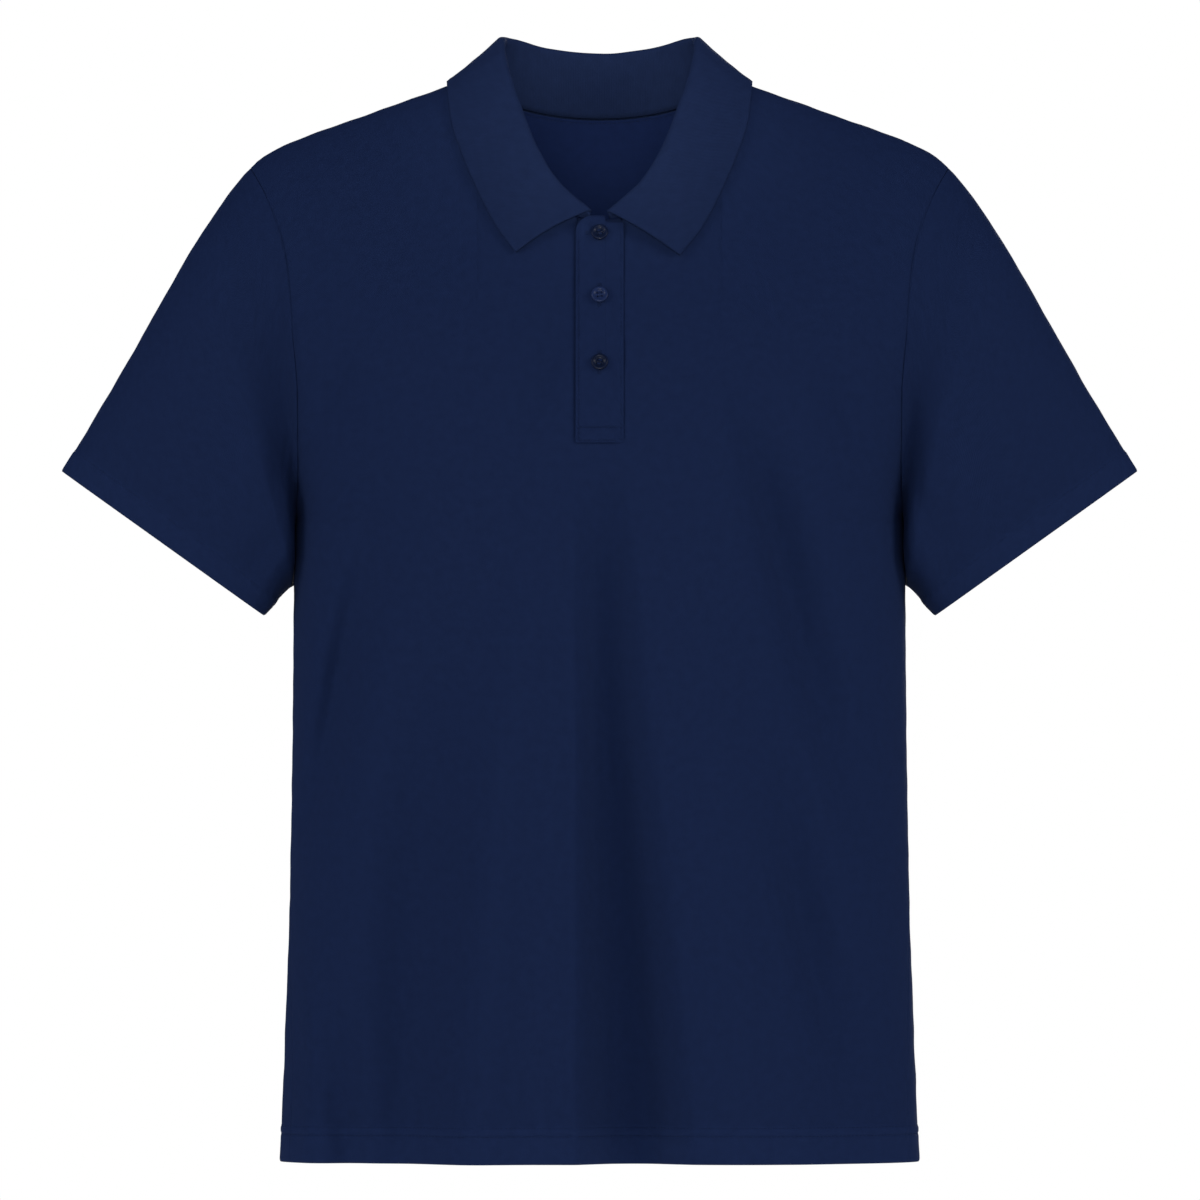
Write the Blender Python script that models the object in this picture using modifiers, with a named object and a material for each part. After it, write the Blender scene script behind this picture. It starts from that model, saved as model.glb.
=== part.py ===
"""A short-sleeved polo shirt that hangs filled out as if it were worn, with nothing inside it.

+X is the wearer's left, +Y the wearer's back, +Z up. The origin is the middle of the neck opening at the height
of the shoulders, in the plane of the shoulder seams, where a wearer's shoulders carry the shirt. Every piece of
cloth is an open surface with a wall added on its inner side, and pieces stay one seam gap apart. Tables and
working sizes are in millimetres; a point becomes metres only when it is put in a mesh.
"""

import math
from collections import namedtuple

import bmesh
import bpy
from mathutils import Vector

MM = 0.001

# ---- driving dimensions, mm ------------------------------------------------------------------------------------
HEM_Z = -743.7              # lower edge of the body
CLOTH = 1.5                 # pique knit wall
COLLAR_CLOTH = 2.0          # flat-knit collar wall
SEAM_GAP = 0.3              # between pieces that are sewn together
LAY_GAP = 0.45              # between the placket and the front it lies on
SLEEVE_SEAM_SHIFT = 0.85    # sideways, which leaves the seam gap between the walls' inner edges
COLLAR_REST = 0.5           # more above the neckline, because the collar's wall leans and is thicker
COLLAR_SIDE_REST = 1.1      # and more again over the shoulder seams, where the neckline turns sharply

NECK_HALF = 84.0            # half the neck opening's width, between the side-neck points
NECK_SIDE_Z = 3.0           # height of the side-neck points
FRONT_NECK_DROP = 100.5     # from the side-neck points down to the front neckline
BACK_NECK_DROP = 29.0       # and down to the back neckline
NECK_RISE = 15.0            # how far the shoulder surface would still climb to the middle of the neck

SHOULDER_TIP_X = 240.0
SHOULDER_TIP_Z = -60.5
ARMPIT_Z = -305.0
ARMHOLE_FRONT = 57.0        # how far the armhole reaches to the front of the shoulder seam
ARMHOLE_BACK = 60.0         # and to the back
CHEST_Z = (SHOULDER_TIP_Z + ARMPIT_Z) / 2     # widest height of the armhole; rows are level below it

FRONT_ROUNDING = 250.0      # height over which the front curves from the shoulder ridge to full depth
BACK_ROUNDING = 200.0
SQUARENESS = 2.4            # exponent of the body's sections: 2 is an ellipse
CUFF_SQUARENESS = 4.4       # and of the sleeve's hem
ARMPIT_BLEND = 70.0         # height over which the sections above the armpits take the armhole's width
SEAM_TURN = 18.0            # degrees of a section over which its edge is drawn in to the seam

CUFF_OUTER = (369.6, -269.3)      # x, z of the outer and inner ends of the sleeve's hem
CUFF_INNER = (231.0, -368.3)
CUFF_DEPTH = 60.0                 # front to back
CUFF_Y = -3.0
SLEEVE_CROWN = 4.3                # how far the top of the sleeve bows outward
SLEEVE_BOW = 9.0                  # and its front and back
SLEEVE_FILL = 0.35                # share of its length over which its sections turn as square as the hem
FOLD_START = 0.8                  # how early a fold that starts at the armhole reaches its depth

PLACKET_HALF = 16.5
PLACKET_TOP_Z = -94.3
PLACKET_FOOT_Z = -250.4
PLACKET_CORNER = 12.0       # radius of its free upper corner
PLACKET_SHELF_X = 3.9       # right of this the top edge is under the collar
PLACKET_SHELF_Z = -98.4
SLOT_HALF = 15.5            # half the slot in the front, which the under placket fills
SLOT_FOOT_Z = -247.0
COLLAR_LIFT = 3.2           # the free corner of the placket lies over the collar's end

BUTTON_RADIUS = 5.7
BUTTON_THICKNESS = 2.4
BUTTON_SHANK = 0.2          # more than the seam gap off the placket, as its thread holds it
BUTTON_X = 0.0
BUTTON_ZS = (-106.3, -149.3, -195.4)
HOLE_RADIUS = 0.75
HOLE_SPACING = 1.35         # from the button's middle, along X and Z

# ---- tables ----------------------------------------------------------------------------------------------------
# Sections of the body: half the width below the armpits, how far the front and back stand from the shoulder
# seams' plane, how far the side is tucked in at its seam, and how far the side seam lies to the front.
Section = namedtuple("Section", "z half_width front back tuck seam_forward")
SECTIONS = (
    Section(HEM_Z, 219.5, 112.0, 112.0, 0.0, 38.0),
    Section(-700.0, 218.0, 112.0, 109.6, 0.0, 38.0),
    Section(-620.0, 215.0, 112.4, 107.2, 0.0, 28.0),
    Section(-560.0, 213.0, 113.0, 106.8, 0.0, 16.0),
    Section(-450.0, 211.0, 115.2, 109.0, 0.0, 4.0),
    Section(-345.0, 210.3, 118.0, 114.6, 0.2, 0.0),
    Section(-320.0, 210.3, 118.4, 116.1, 1.1, 0.0),
    Section(-305.0, 210.3, 118.5, 116.9, 1.8, 0.0),
    Section(-260.0, 210.3, 117.6, 118.6, 0.0, 0.0),
    Section(-230.0, 210.3, 114.8, 118.9, 0.0, 0.0),
    Section(-183.0, 210.3, 104.8, 117.6, 0.0, 0.0),
    Section(-150.0, 210.3, 95.8, 115.2, 0.0, 0.0),
    Section(-97.0, 210.3, 80.5, 109.4, 0.0, 0.0),
    Section(-60.0, 210.3, 72.5, 103.6, 0.0, 0.0),
    Section(-26.0, 210.3, 67.5, 97.2, 0.0, 0.0),
    Section(20.0, 210.3, 63.0, 88.0, 0.0, 0.0),
)

# The shoulder seam from the side-neck point to the shoulder tip.
Shoulder = namedtuple("Shoulder", "x z")
SHOULDER = (
    Shoulder(84.0, 3.0),
    Shoulder(112.0, -7.0),
    Shoulder(150.0, -20.6),
    Shoulder(189.0, -34.4),
    Shoulder(210.0, -42.2),
    Shoulder(225.0, -49.2),
    Shoulder(234.0, -55.2),
    Shoulder(240.0, -60.5),
)

# How far out the armhole seam lies at each height, from the armpit to the shoulder tip.
Armhole = namedtuple("Armhole", "z x")
ARMHOLE = (
    Armhole(-305.0, 208.5),
    Armhole(-290.0, 207.7),
    Armhole(-261.0, 206.9),
    Armhole(-217.0, 207.1),
    Armhole(-173.0, 210.5),
    Armhole(-135.0, 214.0),
    Armhole(-117.0, 217.0),
    Armhole(-95.0, 223.0),
    Armhole(-77.0, 230.5),
    Armhole(-68.0, 235.5),
    Armhole(-60.5, 240.0),
)

# Soft folds of the body, each a line from an upper to a lower end with one point between: where it runs, how wide
# it is on either side of the line, how far it stands out (a trough is negative) at its ends and middle, and how
# much narrower it is on its -X side than its width, and wider on the other.
Fold = namedtuple("Fold", "x1 z1 x2 z2 x3 z3 width1 width3 out1 out2 out3 lean")
FRONT_FOLDS = (
    Fold(-36, -262, -66, -480, -90, HEM_Z, 18, 26, 0.0, 9.0, 16.0, 0.0),
    Fold(66, -300, 86, -520, 106, HEM_Z, 20, 30, 0.0, 6.0, 9.0, 0.0),
    Fold(-156, -290, -184, -425, -208, -545, 15, 15, 0.0, -17.0, 0.0, 0.4),
    Fold(-114, -330, -128, -564, -136, HEM_Z, 24, 31, 0.0, -18.0, -21.0, 0.0),
    Fold(-184, -600, -180, -690, -174, HEM_Z, 12, 15, 0.0, -11.0, -15.0, 0.2),
    Fold(-186, -570, -193, -650, -199, HEM_Z, 12, 13, 0.0, 4.0, 3.5, 0.0),
    Fold(94, -195, 124, -335, 184, -545, 17, 17, 0.0, -18.0, 0.0, 0.4),
    Fold(122, -455, 138, -580, 182, -715, 15, 17, 0.0, -14.0, 0.0, 0.4),
    Fold(128, -600, 138, -690, 142, HEM_Z, 15, 22, 0.0, 5.0, 7.0, 0.0),
    Fold(158, -185, 169, -225, 182, -262, 9, 10, 0.0, -4.5, 0.0, 0.0),
    Fold(-174, -178, -184, -215, -195, -252, 9, 10, 0.0, -4.5, 0.0, 0.0),
    Fold(-26, -160, -40, -208, -60, -256, 8, 12, 0.0, -5.0, 0.0, 0.0),
)
BACK_FOLDS = (
    Fold(0, -150, -6, -420, -14, HEM_Z, 22, 36, 0.0, -9.0, -19.0, -0.1),
    Fold(60, -230, 66, -480, 74, HEM_Z, 22, 30, 0.0, 6.0, 10.0, 0.0),
    Fold(-62, -260, -74, -500, -88, HEM_Z, 22, 30, 0.0, 5.0, 9.0, 0.0),
    Fold(122, -330, 132, -540, 140, HEM_Z, 18, 26, 0.0, -8.5, -12.0, 0.0),
    Fold(-128, -300, -140, -540, -146, HEM_Z, 18, 26, 0.0, -8.5, -11.0, 0.0),
    Fold(148, -120, 166, -190, 186, -262, 12, 12, 0.0, -5.0, 0.0, 0.0),
    Fold(-146, -124, -168, -200, -188, -266, 12, 12, 0.0, -5.0, 0.0, 0.0),
    Fold(176, -560, 184, -650, 186, HEM_Z, 14, 18, 0.0, 4.5, 6.0, 0.0),
    Fold(-180, -540, -186, -650, -188, HEM_Z, 14, 18, 0.0, 4.5, 6.0, 0.0),
)

# The front's middle trough, a soft pleat under the placket: where it starts on the wearer's right, the two sides of
# its floor, where it ends at each height, and how deep it is.
Pleat = namedtuple("Pleat", "z start floor1 floor2 end depth")
FRONT_PLEAT = (
    Pleat(HEM_Z, -15.5, 8.0, 38.0, 70.0, 36.0),
    Pleat(-600.0, -15.5, 4.0, 26.0, 57.0, 31.0),
    Pleat(-440.0, -15.5, -1.0, 13.0, 38.5, 21.0),
    Pleat(-350.0, -16.0, 1.0, 8.0, 30.0, 15.0),
    Pleat(-300.0, -16.5, 2.0, 7.0, 23.0, 9.0),
    Pleat(-268.0, -16.5, 2.0, 6.0, 17.0, 0.0),
)
PLEAT_ROUND = 0.16          # how round its floor's edges are, as a share of its depth
PLEAT_CREST = 0.05          # and the crests on both sides

# Folds of a sleeve: the angle round it (0 at the top, 90 at the front, 180 below), where along it they start and
# end, how much the angle turns on the way, and their width in degrees and depth.
SleeveFold = namedtuple("SleeveFold", "angle start end turn width out")
SLEEVE_FOLDS = {
    -1: (
        SleeveFold(96, 0.00, 0.36, -4, 32, -10.0),
        SleeveFold(134, 0.00, 0.22, 0, 24, -7.0),
        SleeveFold(142, 0.00, 0.90, -6, 20, 7.0),
        SleeveFold(136, 0.16, 0.90, -24, 9, -5.0),
        SleeveFold(84, 0.34, 0.96, 14, 10, -2.4),
        SleeveFold(256, 0.02, 0.62, 10, 15, -5.5),
        SleeveFold(222, 0.14, 0.86, 22, 11, -3.2),
    ),
    1: (
        SleeveFold(106, 0.00, 0.30, -4, 22, -6.5),
        SleeveFold(136, 0.00, 0.22, 0, 24, -8.0),
        SleeveFold(141, 0.00, 0.90, -6, 20, 8.0),
        SleeveFold(122, 0.12, 0.84, -16, 10, -4.2),
        SleeveFold(80, 0.30, 0.94, 12, 10, -2.2),
        SleeveFold(252, 0.02, 0.60, 8, 15, -5.5),
        SleeveFold(226, 0.12, 0.84, 20, 11, -3.2),
    ),
}

# How far the sleeve's underside hangs in towards the body, back and down, from the armhole (share 0) to its hem.
Underarm = namedtuple("Underarm", "share inward back down")
UNDERARM = (
    Underarm(0.0, 0.0, 0.0, 0.0),
    Underarm(0.08, 3.0, 12.0, 6.0),
    Underarm(0.16, 5.4, 22.0, 12.0),
    Underarm(0.25, 7.0, 29.0, 17.2),
    Underarm(0.33, 7.2, 31.0, 19.8),
    Underarm(0.45, 4.7, 21.0, 16.5),
    Underarm(0.6, 3.0, 11.0, 12.2),
    Underarm(0.8, 1.5, 3.0, 6.4),
    Underarm(1.0, 0.0, 0.0, 0.0),
)
UNDERARM_CLEAR = 1.5        # least distance from the body's side
HANG_TURN = 13              # how sharply the underside turns back: the power of its share of the way down

# Ribs of the collar from its front end to the middle of the back: the angle round the neck seam where each starts
# (0 at the front), the top of its roll, the radius of the roll, and where its outer edge lies on the shirt: x, the
# square root of the distance below the shoulders' ridge (negative behind it), and how far off the cloth it stands.
# The last column is how far the fall bows outward between the roll and the edge.
Rib = namedtuple("Rib", "seam fold_x fold_y fold_z roll edge_x edge_drop stand_off bow")
COLLAR_RIBS = (
    Rib(22, 29.0, -69.0, -71.0, 2.2, 69.5, 10.55, 2.2, 3.0),
    Rib(42, 44.0, -60.0, -46.8, 2.6, 83.0, 9.00, 2.2, 3.0),
    Rib(62, 54.5, -43.0, -20.0, 3.0, 94.5, 7.06, 2.0, 2.6),
    Rib(78, 62.5, -24.0, 4.0, 3.0, 101.5, 4.93, 1.8, 1.4),
    Rib(92, 66.0, -2.0, 21.8, 3.0, 103.6, 1.64, 2.6, 0.3),
    Rib(106, 65.8, 17.0, 28.8, 3.0, 102.4, -2.0, 2.6, 0.2),
    Rib(124, 58.5, 37.0, 28.0, 3.0, 92.0, -4.2, 2.0, 0.8),
    Rib(150, 34.0, 54.0, 21.8, 3.0, 58.0, -6.3, 2.4, 1.6),
    Rib(180, 0.0, 60.0, 18.6, 3.0, 0.0, -7.25, 2.6, 2.0),
)
COLLAR_ENDS = {
    -1: Rib(5, 6.0, -69.0, -91.6, 1.5, 57.4, 11.47, 2.0, 3.0),
    1: Rib(5, 5.6, -71.8, -92.0, 1.6, 54.7, 11.60, 3.0, 3.0),
}

# Colours, linear
NAVY = (0.0100, 0.0168, 0.0520)
NAVY_COLLAR = (0.0116, 0.0200, 0.0600)
NAVY_BUTTON = (0.0180, 0.0260, 0.0720)

# ---- mesh fineness ---------------------------------------------------------------------------------------------
NECK_COLUMNS = (0.0, SLOT_HALF, 31.0, 46.0, 60.0, 71.0, 78.5, 82.4, 83.7, NECK_HALF)     # x at the neckline
WAIST_COLUMNS = (0.0, SLOT_HALF, 25.0, 34.0, 43.0, 52.0, 61.0, 69.5, 77.0, NECK_HALF)    # x below the chest
COLUMNS_BEND_Z = -340.0     # the columns pass from one to the other above this
COLUMNS_BEND = 200.0        # over this height
SIDE_SHARES = (0.13, 0.26, 0.39, 0.52, 0.64, 0.76, 0.88, 0.975, 1.0)   # from the neck's width to the side seam
BODY_ROWS = (HEM_Z, -722.0, -690.0, -650.0, -605.0, -560.0, -515.0, -470.0, -425.0, -384.0, -350.0, -325.0,
             -312.0, -305.0, -301.0, -290.5, -272.0, SLOT_FOOT_Z, -216.0, CHEST_Z)
SHOULDER_SHARES = (0.125, 0.25, 0.375, 0.5, 0.625, 0.75, 0.875, 0.975, 1.0)   # chest to shoulder seam
SLEEVE_ROWS = (0.0, 0.03, 0.065, 0.105, 0.15, 0.21, 0.28, 0.36, 0.46, 0.58, 0.71, 0.85, 1.0)   # armhole to hem
CROWN_SCALE = 9.48          # makes share * (1 - share) ** 3 peak at 1, a quarter of the way along


OTHER_SIDE = {"front": "back", "back": "front"}


# ---- helpers ---------------------------------------------------------------------------------------------------
def ease(share):
    """0 to 1 with level ends."""
    share = min(max(share, 0.0), 1.0)
    return share * share * (3 - 2 * share)


def mix(a, b, share):
    return a + (b - a) * share


def read_off(table, key, column, at):
    """The column's value where key is at, on a smooth curve through the table's rows."""
    keys = [getattr(row, key) for row in table]
    values = [getattr(row, column) for row in table]
    return curve_at(keys, values, at)


def curve_at(keys, values, at):
    at = min(max(at, keys[0]), keys[-1])
    k = max(i for i in range(len(keys) - 1) if keys[i] <= at)
    slopes = [(values[i + 1] - values[i]) / (keys[i + 1] - keys[i]) for i in range(len(keys) - 1)]

    def slope(i):
        if i == 0 or i == len(slopes):
            return slopes[min(i, len(slopes) - 1)]
        before, after = slopes[i - 1], slopes[i]
        return 0.0 if before * after <= 0 else 2 * before * after / (before + after)

    step = keys[k + 1] - keys[k]
    t = (at - keys[k]) / step
    return ((1 + 2 * t) * (1 - t) ** 2 * values[k] + t * (1 - t) ** 2 * step * slope(k)
            + t * t * (3 - 2 * t) * values[k + 1] + t * t * (t - 1) * step * slope(k + 1))


# ---- the body's surface ----------------------------------------------------------------------------------------
def section(z, column):
    return read_off(SECTIONS, "z", column, z)


def shoulder_z(x):
    """Height of the shoulders' ridge, carried on over the neck opening."""
    x = abs(x)
    if x < NECK_HALF:
        return NECK_SIDE_Z + NECK_RISE * (1 - (x / NECK_HALF) ** 2)
    return read_off(SHOULDER, "x", "z", x)


def neckline_z(x, side):
    drop = FRONT_NECK_DROP if side == "front" else BACK_NECK_DROP
    return NECK_SIDE_Z - drop * math.sqrt(max(0.0, 1 - (x / NECK_HALF) ** 2))


def top_z(x, side):
    """Height of a panel's upper edge: its neckline, then its shoulder seam."""
    return neckline_z(x, side) if abs(x) < NECK_HALF else shoulder_z(x)


def depth(x, z, side):
    """How far a panel stands from the shoulder seams' plane before it turns to the side."""
    rounding = FRONT_ROUNDING if side == "front" else BACK_ROUNDING
    below = min(max((shoulder_z(x) - z) / rounding, 0.0), 1.0)
    return section(z, side) * math.sqrt(1 - (1 - below) ** 2)


def armhole_y(z, side):
    reach = -ARMHOLE_FRONT if side == "front" else ARMHOLE_BACK
    half = (SHOULDER_TIP_Z - ARMPIT_Z) / 2
    return reach * math.sqrt(max(0.0, 1 - ((z - CHEST_Z) / half) ** 2))


def edge_angle(z, side):
    """The section's angle at a panel's edge: the side seam below the armpit, the armhole above it."""
    if z <= ARMPIT_Z:
        forward = section(z, "seam_forward") / section(z, "front")
        turn = math.acos(min(1.0, forward) ** (SQUARENESS / 2))
        return turn if side == "front" else math.pi - turn
    x = read_off(ARMHOLE, "z", "x", z)
    share = min(abs(armhole_y(z, side)) / max(depth(x, z, side), 1e-6), 0.98)
    return math.acos(share ** (SQUARENESS / 2))


def half_width(z, side):
    """Half width that the level section would have if it went on round the side."""
    below = section(z, "half_width")
    if z <= ARMPIT_Z:
        return below
    through_seam = read_off(ARMHOLE, "z", "x", z) / math.sin(edge_angle(z, side)) ** (2 / SQUARENESS)
    return mix(below, through_seam, ease((z - ARMPIT_Z) / ARMPIT_BLEND))


def tucked(z, angle, side):
    """How far in from its section the cloth lies at an angle from the middle, so that its edge meets the seam."""
    edge = min(edge_angle(z, side), math.pi / 2)
    amount = section(z, "tuck")
    if z > ARMPIT_Z:
        amount = half_width(z, side) * math.sin(edge) ** (2 / SQUARENESS) - read_off(ARMHOLE, "z", "x", z)
    share = 1 + math.degrees(angle - edge) / SEAM_TURN
    return amount * min(max(share, 0.0), 1.0) ** 2


def side_x(y, z):
    """How far out the body's side lies at a depth y, below the armpit."""
    side = "front" if y < 0 else "back"
    z = min(z, ARMPIT_Z)
    angle = math.acos(min(abs(y) / section(z, side), 1.0) ** (SQUARENESS / 2))
    return half_width(z, side) * math.sin(angle) ** (2 / SQUARENESS) - tucked(z, angle, side)


def edge_height(x, z, side):
    """The armhole's height on the row that passes through (x, z), as rows bend up to the upper edge."""
    if z <= CHEST_Z:
        return z
    share = (top_z(x, side) - z) / (top_z(x, side) - CHEST_Z)
    return mix(SHOULDER_TIP_Z, CHEST_Z, min(max(share, 0.02), 1.0))


def panel_y(x, z, side):
    """y of a panel at a place seen from the front, away from the sides."""
    width = half_width(edge_height(x, z, side), side)
    turned = max(0.0, 1 - (abs(x) / width) ** SQUARENESS) ** (1 / SQUARENESS)
    return (-1 if side == "front" else 1) * depth(x, z, side) * turned


def fold_out(x, z, folds):
    """How far the folds lift the cloth at (x, z)."""
    total = 0.0
    for f in folds:
        if not f.z3 <= z <= f.z1:
            continue
        keys, share = (f.z3, f.z2, f.z1), (f.z1 - z) / (f.z1 - f.z3)
        middle = curve_at(keys, (f.x3, f.x2, f.x1), z)
        out = curve_at(keys, (f.out3, f.out2, f.out1), z)
        width = mix(f.width1, f.width3, share) * (1 + f.lean * math.copysign(1.0, x - middle))
        total += out * math.exp(-((x - middle) / width) ** 2)
    return total


def pleat_out(x, z):
    """How far the front's middle pleat sinks at (x, z)."""
    if z >= FRONT_PLEAT[-1].z:
        return 0.0
    start, floor1, floor2, end, deep = (read_off(FRONT_PLEAT, "z", column, z) for column in Pleat._fields[1:])
    falling = (x - start) / (floor1 - start)
    rising = (end - x) / (end - floor2)
    rising = math.copysign(abs(rising) ** 1.4, rising)
    sunk = -PLEAT_ROUND * math.log(sum(math.exp(-min(v, 3.0) / PLEAT_ROUND) for v in (falling, rising, 1.0)))
    return -deep * PLEAT_CREST * math.log(1 + math.exp(sunk / PLEAT_CREST))


def body_point(share, sign, z, row_share, side):
    """A panel's point: share 0 to 1 from the neck's width to the side, or a pair of x values nearer the middle."""
    outward = -1 if side == "front" else 1
    edge_z = z if row_share is None else mix(SHOULDER_TIP_Z, CHEST_Z, row_rise(row_share))
    if isinstance(share, tuple):
        neck_x, waist_x = share
        x = mix(waist_x, neck_x, ease((z - COLUMNS_BEND_Z) / COLUMNS_BEND))
    elif row_share is None:
        width = half_width(z, side)
        start = math.asin((NECK_HALF / width) ** (SQUARENESS / 2))
        angle = mix(start, edge_angle(z, side), share)
        x = width * math.sin(angle) ** (2 / SQUARENESS) - tucked(z, angle, side)
        facing = math.cos(angle)
        reach = depth(x, z, side if facing >= 0 else OTHER_SIDE[side])
        y = outward * math.copysign(abs(facing) ** (2 / SQUARENESS), facing) * reach
        return sign * x, y, z
    else:
        level = body_point(share, 1, CHEST_Z, None, side)[0]
        chest_edge = read_off(ARMHOLE, "z", "x", CHEST_Z)
        spread = mix(share, (level - NECK_HALF) / (chest_edge - NECK_HALF), row_rise(row_share))
        x = NECK_HALF + (read_off(ARMHOLE, "z", "x", edge_z) - NECK_HALF) * spread
    if share == 1 and row_share is not None:
        return sign * x, armhole_y(edge_z, side), z
    return sign * x, panel_y(x, z, side), z


def column_top(share, side):
    if isinstance(share, tuple):
        return top_z(share[0], side)
    return shoulder_z(mix(NECK_HALF, SHOULDER_TIP_X, share))


def row_rise(row_share):
    """How far below its upper edge a row of the shoulders lies, as a share of the way down to the chest."""
    return 1 - math.cos(math.pi / 2 * (1 - row_share))


def panel_point(share, sign, row, side, seam_gap=SEAM_GAP):
    """The point of a panel's outer surface at a column and a row, folds included."""
    if row < len(BODY_ROWS):
        z, row_share = BODY_ROWS[row], None
    else:
        row_share = SHOULDER_SHARES[row - len(BODY_ROWS)]
        top = column_top(share, side)
        z = mix(top, CHEST_Z, row_rise(row_share))
    x, y, z = body_point(share, sign, z, row_share, side)
    outward = -1 if side == "front" else 1
    fade = 1.0 if isinstance(share, tuple) else ease((1 - share) * 4)
    lift = fade * fold_out(x, z, FRONT_FOLDS if side == "front" else BACK_FOLDS)
    if side == "front":
        lift += pleat_out(x, z)
    lean = 0.0 if isinstance(share, tuple) else share ** 3 * 0.8
    return x + sign * lift * lean, y + outward * (lift * (1 - lean * 0.5) + seam_gap / 2), z


# ---- mesh helpers ----------------------------------------------------------------------------------------------
def grid_mesh(columns, rows, place, drop=None, closed=False):
    """A grid of cells laid on place(i, j), without the cells that drop(i, j) names."""
    bm = bmesh.new()
    bmesh.ops.create_grid(bm, x_segments=columns, y_segments=rows, size=1.0)
    cells = {}
    for vert in bm.verts:
        i = round((vert.co.x + 1) / 2 * columns)
        j = round((vert.co.y + 1) / 2 * rows)
        cells[vert] = (i, j)
    if drop:
        lost = [f for f in bm.faces if drop(min(cells[v][0] for v in f.verts), min(cells[v][1] for v in f.verts))]
        bmesh.ops.delete(bm, geom=lost, context="FACES")
    for vert in bm.verts:
        vert.co = Vector(place(*cells[vert])) * MM
    if closed:
        bmesh.ops.remove_doubles(bm, verts=bm.verts, dist=0.00001)
    return bm


def material(name, colour, roughness):
    made = bpy.data.materials.new(name)
    made.use_nodes = True
    shader = made.node_tree.nodes["Principled BSDF"]
    shader.inputs["Base Color"].default_value = (*colour, 1.0)
    shader.inputs["Roughness"].default_value = roughness
    return made


def finish_object(bm, name, collection, colour, roughness=0.9):
    mesh = bpy.data.meshes.new(name)
    bm.to_mesh(mesh)
    bm.free()
    mesh.shade_smooth()
    made = bpy.data.objects.new(name, mesh)
    made.data.materials.append(material(name, colour, roughness))
    collection.objects.link(made)
    return made


def add_wall(made, thickness, offset=-1.0):
    wall = made.modifiers.new("wall", "SOLIDIFY")
    wall.thickness = thickness * MM
    wall.offset = offset
    wall.use_rim = True


# ---- pieces ----------------------------------------------------------------------------------------------------
def panel_columns():
    """(share or x pair, sign) of each column from the wearer's right to left."""
    inner = list(zip(NECK_COLUMNS, WAIST_COLUMNS))
    half = [(pair, 1) for pair in inner[1:]]
    half += [(share, 1) for share in SIDE_SHARES]
    mirrored = [(share, -1) for share, _ in reversed(half)]
    return mirrored + [(inner[0], 1)] + half


def make_front(collection):
    columns = panel_columns()
    rows = len(BODY_ROWS) - 1 + len(SHOULDER_SHARES)
    middle = len(columns) // 2
    slot_row = BODY_ROWS.index(SLOT_FOOT_Z)

    def in_slot(i, j):
        return middle - 1 <= i <= middle and j >= slot_row

    bm = grid_mesh(len(columns) - 1, rows, lambda i, j: panel_point(*columns[i], j, "front"), in_slot)
    front = finish_object(bm, "front", collection, NAVY)
    add_wall(front, CLOTH)
    return front


def make_back(collection):
    columns = panel_columns()[::-1]
    rows = len(BODY_ROWS) - 1 + len(SHOULDER_SHARES)
    bm = grid_mesh(len(columns) - 1, rows, lambda i, j: panel_point(*columns[i], j, "back"))
    back = finish_object(bm, "back", collection, NAVY)
    add_wall(back, CLOTH)
    return back


def squared(angle, squareness):
    """Cosine and sine of an angle round the sleeve, moved out to a squarer section: 2 is an ellipse."""
    turn = math.radians(angle)
    return tuple(math.copysign(abs(part) ** (2 / squareness), part) for part in (math.cos(turn), math.sin(turn)))


def armhole_point(up, forward, sign):
    """A point of the armhole seam, from its share of the way up and forward from the armhole's middle."""
    z = CHEST_Z + (SHOULDER_TIP_Z - ARMPIT_Z) / 2 * up
    reach = ARMHOLE_FRONT if forward > 0 else ARMHOLE_BACK
    return Vector((sign * read_off(ARMHOLE, "z", "x", z), -reach * forward, z))


def sleeve_angles():
    """Angles round the armhole of the panels' rows, so that the sleeve's edge has the same points."""
    half = (SHOULDER_TIP_Z - ARMPIT_Z) / 2
    angles = [90 * (1 - share) for share in reversed(SHOULDER_SHARES)]
    rows = [z for z in reversed(BODY_ROWS) if z >= ARMPIT_Z]
    angles += [math.degrees(math.acos((z - CHEST_Z) / half)) for z in rows]
    return angles + [360 - angle for angle in reversed(angles[1:-1])]


def cuff_point(up, forward, sign):
    outer, inner = (Vector((sign * x, CUFF_Y, z)) for x, z in (CUFF_OUTER, CUFF_INNER))
    return (outer + inner) / 2 + (outer - inner) / 2 * up + Vector((0, -CUFF_DEPTH / 2 * forward, 0))


def sleeve_fold_out(angle, share, folds):
    total = 0.0
    for f in folds:
        if not f.start <= share <= f.end:
            continue
        along = (share - f.start) / (f.end - f.start)
        swell = math.sin(math.pi * along ** (FOLD_START if f.start == 0 else 1.0)) ** 1.5
        away = (angle - f.angle - f.turn * along) / f.width
        total += f.out * swell * math.exp(-away * away)
    return total


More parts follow.
